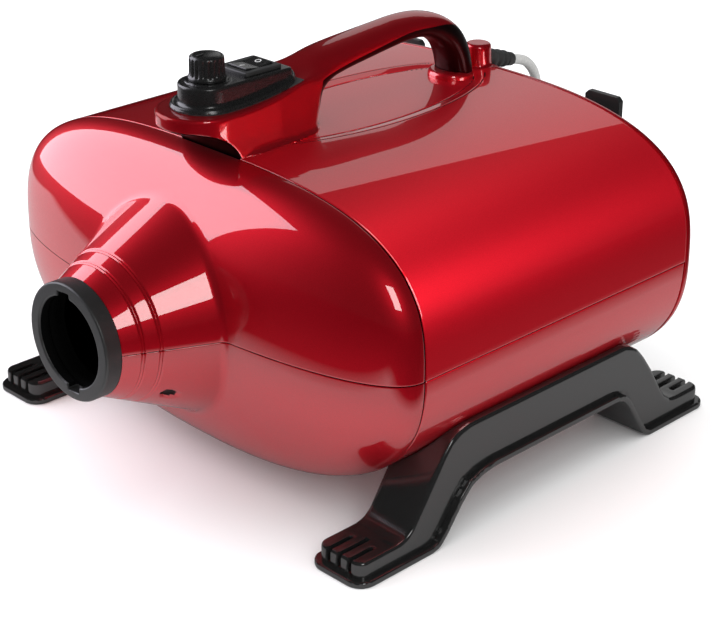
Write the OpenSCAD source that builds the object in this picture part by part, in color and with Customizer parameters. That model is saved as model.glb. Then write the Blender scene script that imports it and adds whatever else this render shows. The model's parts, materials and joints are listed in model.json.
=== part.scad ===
// Twin-motor pet dryer: a red moulded housing on two black skids, with an outlet nozzle at
// the front (-Y), a carrying handle with the controls on top and two filter covers behind (+Y).
// Millimetres, +Z up. The origin is on the floor under the middle of the object.

/* [Housing] */
// Width of the housing
body_w = 354; // [340:2:366]
// Height of the parting plane and of the outlet's axis above the floor
parting_z = 115; // [112:1:118]
// Height of the upper half above the parting plane
top_h = 90; // [88:1:92]
// Depth of the lower half below the parting plane
bottom_h = 100; // [98:1:102]
// How square the upper half's section is (2 is an ellipse)
top_power = 3.0; // [2.8:0.1:3.2]
// How square the lower half's section is
bottom_power = 2.4; // [2.3:0.1:2.6]
// Front edge of the barrel, where the front cap starts
seam_y = -82; // [-86:1:-78]
// Rear edge of the housing
rear_y = 158; // [154:1:160]
// How far the front cap's face stands out from the seam
cap_depth = 47; // [42:1:50]
// How square the front cap is in plan
cap_power = 2.2; // [2.0:0.1:2.6]
// Thickness of the moulded walls
wall = 3; // [2.5:0.5:3.5]

/* [Outlet] */
// Front face of the black outlet ring
outlet_y = -192; // [-196:1:-188]
// Outer radius of the outlet ring and of the cone's tip
outlet_r = 36; // [34:1:37]
// Bore radius of the outlet ring
outlet_bore_r = 27.7; // [26:0.1:28.5]
// Length of the ring's outer band
ring_len = 11; // [10:1:13]
// Growth of the cone's radius for each millimetre of length
cone_slope = 0.49; // [0.46:0.01:0.52]

/* [Handle and controls] */
// Half width of the control pod
pod_r = 26; // [25:0.5:27]
// Middle of the pod's round front end
pod_y = -89; // [-91:1:-88]
// Height of the pod's rim
pod_z = 232; // [231:1:234]
// Half width of the grip
grip_w = 12.5; // [11:0.5:14]
// Radius of the speed knob
knob_r = 10.4; // [9.5:0.1:11.5]
// Height of the speed knob
knob_h = 15; // [13:1:17]

/* [Skids] */
// Outer face of the skid's foot flange
skid_x = 176; // [172:1:178]
// Width of the skid's foot flange
skid_w = 44; // [42:1:46]
// Thickness of the skid's upright body
skid_rib_w = 36; // [34:1:38]
// Front end of the skids
skid_front = -131; // [-134:1:-128]
// Rear end of the skids
skid_rear = 192; // [188:1:194]

/* [Inside] */
// Distance of each motor's axis from the middle
motor_x = 82; // [80:1:84]
// Radius of the fan housings
can_r = 66; // [64:1:68]
// Radius of the filter covers
cover_r = 58; // [56:1:58]

/* [Hidden] */

RED = "#b0101c";
BLACK = "#1c1c1e";
GREY = "#d2d0cc";
STEEL = "#b9bcc0";
COPPER = "#b0653a";

half_w = body_w / 2;
axis_z = parting_z;
joint_gap = 0.6;
cap_y = seam_y - joint_gap;
bezel_y = rear_y - 4;
panel_y = rear_y - 10;
cover_z = 128;
cover_x = 88;
cover_y = panel_y + 3.1;
cover_len = 26.9;
// Heights of the rear panel's screws
panel_screw_low = 48;
panel_screw_high = 176;

// ---------------------------------------------------------------- helper functions

// Power that keeps the sign of its base
function spow(v, e) = sign(v) * pow(abs(v), e);

// Directions of the section's corners over one half, closer where it bends, never more than 7 apart
function section_angles(up) =
    let (h = up ? top_h : bottom_h, e = 2 / (up ? top_power : bottom_power))
    let (a = [for (i = [0 : 40]) atan2(h * spow(sin(4.5 * i), e), half_w * spow(cos(4.5 * i), e))])
    concat(
        [for (i = [0 : 39]) let (n = ceil((a[i + 1] - a[i]) / 7))
            each [for (k = [0 : n - 1]) (up ? 0 : 180) + a[i] + (a[i + 1] - a[i]) * k / n]],
        [up ? 180 : 360]);

// Distance of the section's edge from the axis in direction t, drawn in by inset all round
function section_r(t, inset) =
    let (up = t <= 180)
    let (n = up ? top_power : bottom_power)
    let (h = (up ? top_h : bottom_h) - inset)
    pow(pow(abs(cos(t)) / (half_w - inset), n) + pow(abs(sin(t)) / h, n), -1 / n);

// One half of the section, from one parting edge over to the other
function half_section(up, inset) = [for (t = section_angles(up)) section_r(t, inset) * [cos(t), sin(t)]];

// The whole section
function full_section(inset) =
    [for (up = [true, false]) let (half = half_section(up, inset)) for (i = [0 : len(half) - 2]) half[i]];

function reversed(list) = [for (i = [len(list) - 1 : -1 : 0]) list[i]];

function unit(v) = v / norm(v);

// Smooth step from 0 to 1 between a and b
function ease(a, b, x) = let (u = max(0, min(1, (x - a) / (b - a)))) u * u * (3 - 2 * u);

// Radius of the nozzle cone at y
function cone_r(y, inset) = outlet_r - inset + (y - outlet_y - ring_len) * cone_slope;

// Distance of the front cap in front of the seam where its section has shrunk to share s
function cap_t(s) = pow(max(0, 1 - pow(s, cap_power)), 1 / cap_power);

// Share s at which the cap meets the cone, for a section radius r, found by halving
function meet_s(r, inset, lo = 0, hi = 1, n = 14) =
    let (mid = (lo + hi) / 2)
    n == 0 ? mid
    : mid * r > cone_r(cap_y - (cap_depth - inset) * cap_t(mid), inset)
        ? meet_s(r, inset, lo, mid, n - 1)
        : meet_s(r, inset, mid, hi, n - 1);

// Two shallow grooves round the cone: [distance behind the outlet ring, depth], from the rear
CONE_GROOVES = [[21.4, 0], [20.9, 0.5], [20.1, 0.5], [19.6, 0], [12, 0], [11.5, 0.5], [10.7, 0.5], [10.2, 0]];

// Points [distance from the axis, y] of the cap and cone in direction t: the rounded cap,
// a blend over the corner where the two meet, and the cone to its tip
function cap_profile(t, inset) =
    let (r = section_r(t, inset), d = cap_depth - inset, s = meet_s(r, inset), blend = 7)
    let (corner = [s * r, cap_y - d * cap_t(s)])
    let (s1 = min(1, s + blend / r), a1 = acos(pow(s1, cap_power / 2)))
    let (start = [s1 * r, cap_y - d * cap_t(s1)])
    let (end = [cone_r(corner[1] - blend, inset), corner[1] - blend])
    concat(
        [for (i = [0 : 10]) let (a = a1 * i / 10)
            [r * pow(cos(a), 2 / cap_power), cap_y - d * pow(sin(a), 2 / cap_power)]],
        [for (u = [0.25, 0.5, 0.75]) (1 - u) * (1 - u) * start + 2 * u * (1 - u) * corner + u * u * end],
        [end],
        [for (g = CONE_GROOVES) let (y = outlet_y + ring_len + g[0])
            [cone_r(y, inset) - (inset == 0 ? g[1] : 0), y]],
        [[cone_r(outlet_y + ring_len, inset), outlet_y + ring_len]]);

// Faces between two rows of a grid of points, as triangles
function grid_faces(rows, cols, first, flip) =
    [for (i = [0 : rows - 2], j = [0 : cols - 2])
        let (a = first + i * cols + j, b = a + 1, c = a + cols, d = c + 1)
        each flip ? [[a, d, b], [a, c, d]] : [[a, b, d], [a, d, c]]];

// Faces that join the edges of two equal grids
function rim_faces(rows, cols, second) =
    concat(
        [for (j = [0 : cols - 2]) each [[j, second + j + 1, j + 1], [j, second + j, second + j + 1]]],
        [for (j = [0 : cols - 2]) let (a = (rows - 1) * cols + j)
            each [[a, a + 1, second + a + 1], [a, second + a + 1, second + a]]],
        [for (i = [0 : rows - 2]) let (a = i * cols, b = a + cols)
            each [[a, b, second + b], [a, second + b, second + a]]],
        [for (i = [0 : rows - 2]) let (a = i * cols + cols - 1, b = a + cols)
            each [[a, second + b, b], [a, second + a, second + b]]]);

// A walled skin between two grids of points of the same size
module grid_shell(outer, inner, rows, cols)
    polyhedron(points = concat(outer, inner), convexity = 6,
        faces = concat(grid_faces(rows, cols, 0, false),
            grid_faces(rows, cols, rows * cols, true),
            rim_faces(rows, cols, rows * cols)));

// A solid through closed rings of points, all with the same number of points
module loft(rings) {
    rows = len(rings);
    cols = len(rings[0]);
    last = (rows - 1) * cols;
    polyhedron(points = [for (ring = rings) each ring], convexity = 6,
        faces = concat([[for (j = [0 : cols - 1]) j]],
            [[for (j = [cols - 1 : -1 : 0]) last + j]],
            [for (i = [0 : rows - 2], j = [0 : cols - 1])
                let (a = i * cols + j, b = i * cols + (j + 1) % cols, c = a + cols, d = b + cols)
                each [[a, d, b], [a, c, d]]]));
}

// An extrusion along Y of an outline in X and Z, from y0 to y1
module along_y(y0, y1) translate([0, y1, 0]) rotate([90, 0, 0]) linear_extrude(y1 - y0) children();

// An extrusion along X of an outline in Y and Z, from x0 to x1
module along_x(x0, x1) translate([x0, 0, 0]) rotate([90, 0, 90]) linear_extrude(x1 - x0) children();

// A cylinder along Y from y0 to y1
module rod_y(x, z, r, y0, y1, fn = 48) translate([x, y1, z]) rotate([90, 0, 0]) cylinder(r = r, h = y1 - y0, $fn = fn);

// Its children at both sides, the second one mirrored
module both_sides() {
    children();
    mirror([1, 0, 0]) children();
}

// The outside of the barrel, grown by gap, as one solid from y0 to y1
module barrel_solid(y0, y1, gap = 0)
    translate([0, 0, parting_z]) along_y(y0, y1) polygon(full_section(-gap));

// ---------------------------------------------------------------- housing

// Half of the front cap with its part of the outlet cone
module front_cap(up) {
    function skin(inset) = [for (t = section_angles(up)) [for (p = cap_profile(t, inset))
        [p[0] * cos(t), p[1], parting_z + p[0] * sin(t)]]];
    outer = skin(0);
    grid_shell([for (row = outer) each row], [for (row = skin(wall)) each row], len(outer), len(outer[0]));
}

module front_cap_upper() color(RED) front_cap(true);
module front_cap_lower() color(RED) front_cap(false);

// Half of a band of the barrel between two insets, from y0 to y1
module half_band(up, y0, y1, outer, inner)
    translate([0, 0, parting_z]) along_y(y0, y1)
        polygon(concat(half_section(up, outer), reversed(half_section(up, inner))));

// Half of the barrel's wall, with the spigot that the front cap fits over
module half_barrel(up) {
    half_band(up, seam_y, bezel_y - 0.4, 0, wall);
    half_band(up, seam_y, seam_y + 4, 1, wall + 2.2);
    half_band(up, seam_y - 3.5, seam_y + 4, wall + 0.7, wall + 2.2);
}

// Raised socket that the handle's rear leg drops into, and the block that holds the cord
leg_y = 125;
shell_top = parting_z + top_h;
boss_y = 151;
boss_top = shell_top + 12;
relief_z = shell_top + 4.5;
relief_tilt = 14;
// Flat middle of the upper shell's inside, where small parts hang
ceiling_z = shell_top - wall - 0.25;

// Shallow hollow in the barrel's top under the grip, an ellipse that leaves the pod's foot its seat
deck_y = 40;
deck_depth = 1.5;

module deck_hollow()
    difference() {
        translate([0, 0, shell_top - 30]) linear_extrude(60)
            polygon([for (t = [0 : 6 : 354]) [45 * cos(t), deck_y + 108 * sin(t)]]);
        translate([0, 0, shell_top - 31]) linear_extrude(62)
            polygon([for (t = [0 : 6 : 354]) [46 * cos(t), -51 + 51 * sin(t)]]);
        barrel_solid(seam_y, rear_y, -deck_depth);
    }

module upper_shell() color(RED) {
    difference() {
        union() {
            difference() {
                half_barrel(true);
                deck_hollow();
            }
            translate([0, leg_y, shell_top - wall]) cylinder(r1 = 17, r2 = 15, h = 7, $fn = 64);
            translate([0, boss_y, shell_top - 2.5]) {
                cylinder(r1 = 9.6, r2 = 9, h = boss_top - shell_top + 0.5, $fn = 64);
                cylinder(r1 = 9, r2 = 7.4, h = boss_top - shell_top + 2.5, $fn = 64);
            }
            for (x = [-28, 16]) translate([x, panel_y - 14, shell_top - 38]) cube([12, 14, 36]);
            both_sides() for (y = [-50, 40, 130]) {
                translate([half_w - 14, y, parting_z]) cylinder(r = 4.5, h = 18, $fn = 32);
                translate([half_w - 14, y - 1, parting_z]) cube([12, 2, 18]);
            }
        }
        translate([0, leg_y, shell_top + 1]) cylinder(r = 13.4, h = 5, $fn = 64);
        translate([0, -30, shell_top - 12]) cylinder(r = 14, h = 24, $fn = 48);
        translate([0, boss_y, relief_z]) rotate([-90 - relief_tilt, 0, 0]) cylinder(r = 4.2, h = 30, center = true, $fn = 48);
        both_sides() for (y = [-50, 40, 130])
            translate([half_w - 14, y, parting_z - 1]) cylinder(r = 1.7, h = 15, $fn = 24);
        for (x = [-1, 1]) rod_y(22 * x, panel_screw_high, 1.6, panel_y - 12, panel_y + 1, 24);
    }
}

module lower_shell() color(RED) {
    difference() {
        union() {
            half_barrel(false);
            both_sides() for (y = [-50, 40, 130]) {
                translate([half_w - 14, y, parting_z - 20]) cylinder(r = 4.5, h = 20, $fn = 32);
                translate([half_w - 14, y - 1, parting_z - 20]) cube([12, 2, 20]);
            }
            intersection() {
                both_sides() for (y = [-20, 85]) translate([154, y, 50]) cylinder(r = 5, h = 24, $fn = 32);
                barrel_solid(seam_y, rear_y - 5, -1);
            }
            for (x = [-28, 16]) translate([x, panel_y - 14, parting_z - bottom_h + 1]) cube([12, 14, 42]);
        }
        for (x = [-1, 1]) rod_y(22 * x, panel_screw_low, 1.6, panel_y - 12, panel_y + 1, 24);
        both_sides() for (y = [-50, 40, 130])
            translate([half_w - 14, y, parting_z - 21]) cylinder(r = 2.3, h = 22, $fn = 24);
        both_sides() for (y = [-20, 85])
            translate([154, y, 50]) cylinder(r = 1.7, h = 22, $fn = 24);
    }
}

module rear_bezel() color(RED)
    difference() {
        union() {
            barrel_solid(bezel_y, rear_y);
            barrel_solid(bezel_y - 0.4, rear_y, -1.2);
        }
        barrel_solid(bezel_y - 1, rear_y + 1, -9);
        translate([0, boss_y, shell_top - 20]) cylinder(r = 10, h = 30, $fn = 64);
    }

intake_r = cover_r - 8;

// Flat rear wall with a collar round the intake on each side
module rear_panel() color(BLACK) {
    difference() {
        union() {
            barrel_solid(panel_y, panel_y + 3, -wall - 0.3);
            both_sides() rod_y(cover_x, cover_z, cover_r - 4.5, panel_y + 1, panel_y + 14, 96);
        }
        both_sides() rod_y(cover_x, cover_z, intake_r, panel_y - 1, panel_y + 15, 96);
        for (x = [-22, 22], z = [panel_screw_low, panel_screw_high]) rod_y(x, z, 1.8, panel_y - 1, panel_y + 4, 24);
    }
    both_sides() translate([cover_x, panel_y, cover_z]) intake_guard();
}

// Rings and spokes that keep fingers out of an intake
module intake_guard() {
    for (r = [12, 26, 40]) difference() {
        rod_y(0, 0, r + 1.2, 0.4, 2.6, 64);
        rod_y(0, 0, r - 1.2, -1, 4, 64);
    }
    for (a = [0 : 45 : 315]) rotate([0, a, 0]) translate([11.7, 0.8, -1.2]) cube([intake_r - 10.7, 1.4, 2.4]);
}

// ---------------------------------------------------------------- handle and pod

// Height of the pod's top along y: level at the front, then rising into the grip
function pod_top(y) = pod_z + 12 * pow(max(0, y + 75) / 75, 1.6);

// Centreline of the grip from the pod to the rear leg: [y, z, half thickness, half width]
GRIP = [[-30, 228.2, 8.5, 24], [-14, 233.4, 9, 18.5], [2, 237, 9.5, 15.5], [20, 238.5, 9, 13.8],
    [40, 240, 8.5, 13], [58, 242.5, 8, grip_w], [76, 245, 7.8, grip_w], [92, 244.5, 7.8, grip_w],
    [106, 240, 8, grip_w], [117, 232, 8.2, grip_w], [123.5, 222, 8.2, grip_w],
    [125.5, 212, 8, 12], [leg_y + 0.5, shell_top + 1.1, 7.8, 11.5]];

function grip_dir(i) = unit([GRIP[min(i + 1, len(GRIP) - 1)][0] - GRIP[max(i - 1, 0)][0],
    GRIP[min(i + 1, len(GRIP) - 1)][1] - GRIP[max(i - 1, 0)][1]]);

// Point of the grip's section number i at angle t: a rounded oblong square to the centreline
function grip_pt(i, t) =
    let (g = GRIP[i], d = grip_dir(i), out = g[2] * spow(sin(t), 0.8), x = g[3] * spow(cos(t), 0.8))
    [x, g[0] - d[1] * out, g[1] + d[0] * out];

// The grip's half over angles a0 to a1, closed by the parting surface
module grip_half(a0, a1, first) {
    loft([for (i = [first : len(GRIP) - 1]) [for (k = [12 : -1 : 0]) grip_pt(i, a0 + (a1 - a0) * k / 12)]]);
}

// Places along the pod where its top is worked out
POD_YS = [pod_y - pod_r, -75, -66, -57, -48, -39, -30, -24];

// Side view of the pod: rim, hollowed front, foot on the barrel
module pod_side() {
    difference() {
        polygon(concat([[seam_y + 1, shell_top - 14], [pod_y - pod_r, shell_top - 14]],
            [for (y = POD_YS) [y, pod_top(y)]],
            [[-20, 238], [-14, 226], [-19, 213], [-21, shell_top - 14]]));
        translate([pod_y - pod_r + 1, shell_top - 7]) scale([33, 25]) circle(r = 1, $fn = 64);
    }
}

// Plan of the pod
module pod_plan() {
    translate([0, pod_y]) circle(r = pod_r, $fn = 96);
    translate([0, -27]) circle(r = 20, $fn = 64);
    polygon([[-pod_r, pod_y], [-pod_r, -46], [-24, -33], [-20, -27], [20, -27], [24, -33],
        [pod_r, -46], [pod_r, pod_y]]);
}

// Outline of the pod's flared foot at height z, spread by flare
function foot_ring(z, flare, n = 40) =
    [for (i = [0 : n - 1]) let (t = 360 * i / n)
        [(25.5 + flare) * spow(cos(t), 0.6), -51 + (30 + flare * 0.8) * spow(sin(t), 0.6), z]];

module handle_shell() color(RED)
    difference() {
        union() {
            intersection() {
                along_x(-40, 40) pod_side();
                translate([0, 0, shell_top - 20]) linear_extrude(80) pod_plan();
            }
            intersection() {
                loft([foot_ring(shell_top - 14, 22), foot_ring(shell_top + 0.6, 19), foot_ring(shell_top + 2, 12),
                    foot_ring(shell_top + 5, 6), foot_ring(shell_top + 10, 2), foot_ring(shell_top + 17, 0)]);
                translate([-80, seam_y + 1, 0]) cube([160, 120, 300]);
            }
            grip_half(0, 180, 0);
        }
        barrel_solid(seam_y - 60, 20, 0.05);
        front_cap_clearance();
        intersection() {
            pod_band(0, 30);
            translate([0, 0, 215]) linear_extrude(60) block_plan(5.3);
        }
        // Hollow under the control panel: shallow under the speed control, deep under the switch
        translate([0, knob_y, 226.5]) cylinder(r = 12, h = 40, $fn = 48);
        translate([-12, -70, 207.5]) cube([24, 36, 40]);
    }

// Room kept above the front cap under the pod
module front_cap_clearance()
    translate([0, 0, shell_top - 30]) linear_extrude(30.4) translate([-60, -160]) square([120, 160 + seam_y + 0.4]);

module handle_underside() color("#5a0c12")
    difference() {
        grip_half(180, 360, 2);
        translate([0, 0, 195]) linear_extrude(50) pod_plan();
        barrel_solid(-100, rear_y, 0.9);
    }

// ---------------------------------------------------------------- controls

block_r = 16.3;
block_y = -84;
block_z = 246.5;
block_end = -30;
knob_y = -82.5;
rocker_y = -49.5;

// Plan of the raised block under the knob and rocker, grown by g
module block_plan(g = 0) {
    translate([0, block_y]) circle(r = block_r + g, $fn = 64);
    translate([-block_r - g, block_y]) square([2 * (block_r + g), block_end - block_y + g]);
}

// Thin band that follows the pod's top, from low to high above it
module pod_band(low, high)
    along_x(-30, 30) polygon(concat([for (y = POD_YS) [y, pod_top(y) + high]],
        [for (y = reversed(POD_YS)) [y, pod_top(y) + low]]));

module control_panel() color(BLACK)
    difference() {
        union() {
            intersection() {
                pod_band(0.6, 2.6);
                translate([0, 0, 220]) linear_extrude(40) block_plan(5);
            }
            difference() {
                translate([0, 0, 220]) linear_extrude(block_z - 220) block_plan();
                translate([0, 0, -40]) pod_band(0, 40.6);
            }
            translate([0, knob_y, block_z - 1]) cylinder(r = 13.4, h = 1.8, $fn = 64);
        }
        translate([0, knob_y, 200]) cylinder(r = 4.6, h = 60, $fn = 48);
        translate([-10.2, rocker_y - 12.2, 200]) cube([20.4, 24.4, 60]);
        translate([0, 0, 219]) linear_extrude(block_z - 222.5) block_plan(-3);
    }

module panel_gasket() color("#0f0f10")
    difference() {
        intersection() {
            pod_band(0, 0.6);
            translate([0, 0, 220]) linear_extrude(40) block_plan(4.4);
        }
        translate([0, 0, 219]) linear_extrude(60) block_plan(-2.4);
    }

module potentiometer() color(STEEL) {
    difference() {
        union() {
            translate([0, knob_y, block_z - 13.5]) cylinder(r = 8.5, h = 10, $fn = 48);
            translate([0, knob_y, block_z - 4]) cylinder(r = 4.5, h = 5, $fn = 48);
        }
        translate([0, knob_y, block_z - 12.2]) cylinder(r = 3.05, h = 30, $fn = 48);
    }
}

module rocker_housing() color(BLACK) {
    difference() {
        union() {
            translate([-12.8, rocker_y - 14, block_z]) cube([25.6, 28, 2.4]);
            translate([-10, rocker_y - 12, block_z - 18]) cube([20, 24, 18]);
        }
        translate([-8.6, rocker_y - 10.8, block_z - 8]) cube([17.2, 21.6, 12]);
    }
    for (x = [-6, 0, 6]) translate([x - 0.4, rocker_y - 3, block_z - 25]) cube([0.8, 6.3, 7.2]);
}

module speed_knob() color(BLACK) {
    difference() {
        union() {
            translate([0, knob_y, block_z + 1]) rotate_extrude($fn = 72)
                polygon([[0, 0], [knob_r, 0], [knob_r, 2], [knob_r - 0.9, 2.6],
                    [knob_r - 1.3, knob_h - 1.2], [knob_r - 2.3, knob_h], [0, knob_h]]);
            for (a = [0 : 20 : 340]) translate([0, knob_y, block_z + 3]) rotate(a)
                translate([knob_r - 1.4, 0, 0]) cylinder(r = 1, h = knob_h - 4, $fn = 12);
        }
        translate([0, knob_y, block_z - 1]) cylinder(r = 6, h = 4, $fn = 48);
    }
    translate([0, knob_y, block_z - 12]) cylinder(r = 3, h = 17, $fn = 48);
}

module knob_pointer() color("white")
    translate([-0.6, knob_y - knob_r + 3, block_z + 1 + knob_h]) cube([1.2, 5, 0.3]);

// Rocker: a shallow V across its pivot, standing level in its middle, off, position
module rocker_key() color(BLACK)
    translate([0, rocker_y, block_z + 0.4]) {
        rotate([90, 0, 90]) translate([0, 0, -8.2]) linear_extrude(16.4)
            polygon([[-10.2, -2.5], [10.2, -2.5], [10.2, 3.2], [0, 1.7], [-10.2, 3.2]]);
        rotate([0, 90, 0]) cylinder(r = 2.2, h = 16.4, center = true, $fn = 32);
    }

module speed_board() color("#1f6b3a")
    translate([-11.5, -69, 207.5]) cube([23, 34, 1.6]);

module heat_sink() color(STEEL)
    translate([-10, -66, 209.1]) {
        cube([20, 3, 8]);
        for (x = [0 : 4 : 18]) translate([x, 3, 0]) cube([1.5, 5, 8]);
    }

module terminal_block() color("#e8e4d8")
    translate([-14, 104, ceiling_z - 9]) difference() {
        cube([28, 10, 9]);
        for (x = [5, 14, 23]) translate([x, 5, 3]) cylinder(r = 2, h = 7, $fn = 24);
    }

// ---------------------------------------------------------------- motors

motor_z = 112;
bulkhead_y = 68;
can_y = 20;
frame_y = -44;
shaft_r = 4;

module per_motor() for (s = [-1, 1]) translate([s * motor_x, 0, motor_z]) children();

// Wall between the intake side and the pressure side, with a hole for each fan
module motor_bulkhead() color("#2a2a2c")
    difference() {
        barrel_solid(bulkhead_y, bulkhead_y + 4, -wall - 0.3);
        per_motor() rod_y(0, 0, can_r - 12, bulkhead_y - 1, bulkhead_y + 5, 96);
    }

// Soft rings that carry the fans on the bulkhead and the motors in their cradle
module motor_mounts() color("#101012")
    per_motor() {
        difference() {
            rod_y(0, 0, can_r + 2, can_y + 42, bulkhead_y, 96);
            rod_y(0, 0, can_r, can_y + 41, can_y + 44, 96);
            rod_y(0, 0, can_r - 12, can_y + 40, bulkhead_y + 1, 96);
        }
        difference() {
            rod_y(0, 0, 30, frame_y - 8, frame_y - 2, 64);
            rod_y(0, 0, 14, frame_y - 9, frame_y - 1, 64);
        }
    }

// Cross beam in front of the motors, screwed to the lower shell
module motor_cradle() color("#2a2a2c")
    difference() {
        union() {
            translate([-158.9, frame_y - 12, motor_z - 12]) cube([317.8, 4, 24]);
            per_motor() rod_y(0, 0, 34, frame_y - 12, frame_y - 4, 64);
        }
        per_motor() rod_y(0, 0, 30, frame_y - 8, frame_y - 3, 64);
        per_motor() rod_y(0, 0, 12, frame_y - 13, frame_y - 3, 64);
    }

// Pressed steel fan housings with the intake eye behind and outlets round the motor
module fan_cans() color(STEEL)
    per_motor() difference() {
        rod_y(0, 0, can_r, can_y, can_y + 44, 96);
        rod_y(0, 0, can_r - 2, can_y + 2, can_y + 42, 96);
        rod_y(0, 0, 22, can_y + 40, can_y + 45, 64);
        rod_y(0, 0, 11, can_y - 1, can_y + 3, 64);
        for (a = [0 : 45 : 315]) rotate([0, a, 0]) translate([29, can_y - 1, -7]) cube([22, 4, 14]);
    }

// Cast frames round the windings: two end plates and four bars
module motor_frames() color("#9a9da1")
    per_motor() difference() {
        rod_y(0, 0, 44, frame_y, can_y, 96);
        rod_y(0, 0, 40.05, frame_y + 5, can_y - 4, 96);
        rod_y(0, 0, 11, frame_y - 1, can_y + 1, 64);
        for (a = [0 : 90 : 270]) rotate([0, a + 45, 0]) translate([24, frame_y + 8, -19]) cube([30, 48, 38]);
        for (a = [0 : 60 : 300]) rotate([0, a, 0]) translate([18, frame_y - 1, -5]) cube([14, 7, 10]);
        for (a = [0 : 60 : 300]) rotate([0, a, 0]) translate([18, can_y - 6, -5]) cube([14, 7, 10]);
    }

// Laminated rings with two poles each and their windings
module stators() {
    color("#6d6f72") per_motor() difference() {
        rod_y(0, 0, 40, -26, 6, 96);
        rod_y(0, 0, 33, -27, 7, 96);
    }
    color(COPPER) per_motor() difference() {
        intersection() {
            rod_y(0, 0, 33, -30, 10, 96);
            for (a = [0, 180]) rotate([0, a, 0]) translate([14, -30, -22]) cube([22, 40, 44]);
        }
        rod_y(0, 0, 24.6, -31, 11, 96);
    }
}

// A ball bearing at each end of each shaft
module bearings() color("#c8cacd")
    per_motor() for (y = [frame_y - 1, can_y - 7]) difference() {
        rod_y(0, 0, 11, y, y + 7, 64);
        rod_y(0, 0, shaft_r + 0.03, y - 1, y + 8, 64);
    }

module brush_holders() color("#b58a3c")
    per_motor() for (a = [90, 270]) rotate([0, a, 0]) translate([13.6, frame_y + 8.5, -4]) cube([26.2, 7, 8]);

// Shaft, wound core and commutator of one motor
module rotor(side)
    translate([side * motor_x, 0, motor_z]) {
        color(STEEL) rod_y(0, 0, shaft_r, frame_y - 5, can_y + 38, 48);
        color("#6d6f72") difference() {
            rod_y(0, 0, 24, -24, 4, 72);
            for (a = [0 : 30 : 330]) rotate([0, a, 0]) translate([18, -25, -1.2]) cube([8, 30, 2.4]);
        }
        color(COPPER) rod_y(0, 0, 13, frame_y + 7, frame_y + 17, 48);
    }

// Closed fan wheel: two discs with backward-curved vanes between them
module impeller(side)
    color("#c6c8ca") translate([side * motor_x, 0, motor_z]) {
        difference() {
            union() {
                rod_y(0, 0, 60, can_y + 10, can_y + 12, 96);
                rod_y(0, 0, 10, can_y + 6, can_y + 34, 48);
                difference() {
                    rod_y(0, 0, 60, can_y + 30, can_y + 32, 96);
                    rod_y(0, 0, 24, can_y + 29, can_y + 33, 64);
                }
                for (a = [0 : 45 : 315]) rotate([0, a, 0])
                    translate([26, can_y + 31, 0]) rotate([90, 0, 0]) linear_extrude(20) vane_plan();
            }
            rod_y(0, 0, shaft_r, can_y + 4, can_y + 40, 48);
        }
    }

// Curved vane as a slice of a ring
module vane_plan()
    intersection() {
        translate([8, -33]) difference() {
            circle(r = 34, $fn = 64);
            circle(r = 32.6, $fn = 64);
        }
        square([33, 60]);
    }

module rotor_left() rotor(-1);
module rotor_right() rotor(1);
module impeller_left() impeller(-1);
module impeller_right() impeller(1);

// Open-cell foam that lines the bottom of the lower shell under the motors
module sound_liner() color("#3b3b3d")
    translate([0, 0, parting_z]) along_y(-6, bulkhead_y - 1)
        intersection() {
            polygon(concat(half_section(false, wall + 0.05), reversed(half_section(false, wall + 9))));
            translate([-140, -120]) square([280, 70]);
        }

// ---------------------------------------------------------------- outlet

// Ring that takes the hose: a stepped bore with two bayonet notches
module outlet_ring() color(BLACK)
    difference() {
        translate([0, outlet_y, axis_z]) rotate([-90, 0, 0]) rotate_extrude($fn = 96)
            polygon([[outlet_bore_r, 0.8], [outlet_bore_r + 0.8, 0], [outlet_r - 1, 0], [outlet_r, 1],
                [outlet_r, ring_len], [outlet_r - wall - 0.3, ring_len], [outlet_r - wall - 0.3, ring_len + 9],
                [outlet_bore_r + 2, ring_len + 9], [outlet_bore_r + 2, 6], [outlet_bore_r, 5.4]]);
        for (a = [12, 192]) translate([0, 0, axis_z]) rotate([0, a, 0])
            translate([-5.5, outlet_y - 1, outlet_bore_r - 3]) cube([11, 7.5, 6]);
    }

module outlet_seal() color("#101012")
    difference() {
        rod_y(0, axis_z, outlet_bore_r + 1.95, outlet_y + 8, outlet_y + 12, 96);
        rod_y(0, axis_z, outlet_bore_r + 0.4, outlet_y + 7, outlet_y + 13, 96);
    }

// ---------------------------------------------------------------- skids

foot_h = 14.5;
rail_h = 71;
arch_h = 37;

// Upper edge of the skid from its front toe to its rear toe
SKID_TOP = [[skid_front + 4, foot_h], [-96, foot_h], [-90, 16], [-85, 20], [-73, 38], [-60, 58],
    [-54, 65], [-47, 69], [-38, rail_h], [104, rail_h], [111, 68.5], [118, 64], [124, 57.5],
    [133, 45.5], [144, 28], [150, 20], [156, 15.5], [163, foot_h], [skid_rear - 4, foot_h]];
// Lower edge, back from the rear toe to the front toe
SKID_LOW = [[skid_rear, 0], [130, 0], [125, 2.5], [119, 10], [106, 30], [101, 35], [94, arch_h],
    [-18, arch_h], [-30, 35.5], [-40, 31.5], [-48, 23], [-60, 7.5], [-66, 1.5], [-72, 0],
    [skid_front, 0]];

// The lower edge raised by h, as a strip of that thickness
module skid_strip(h)
    polygon(concat(SKID_LOW, reversed([for (p = SKID_LOW) [p[0], p[1] + h]])));

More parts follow.
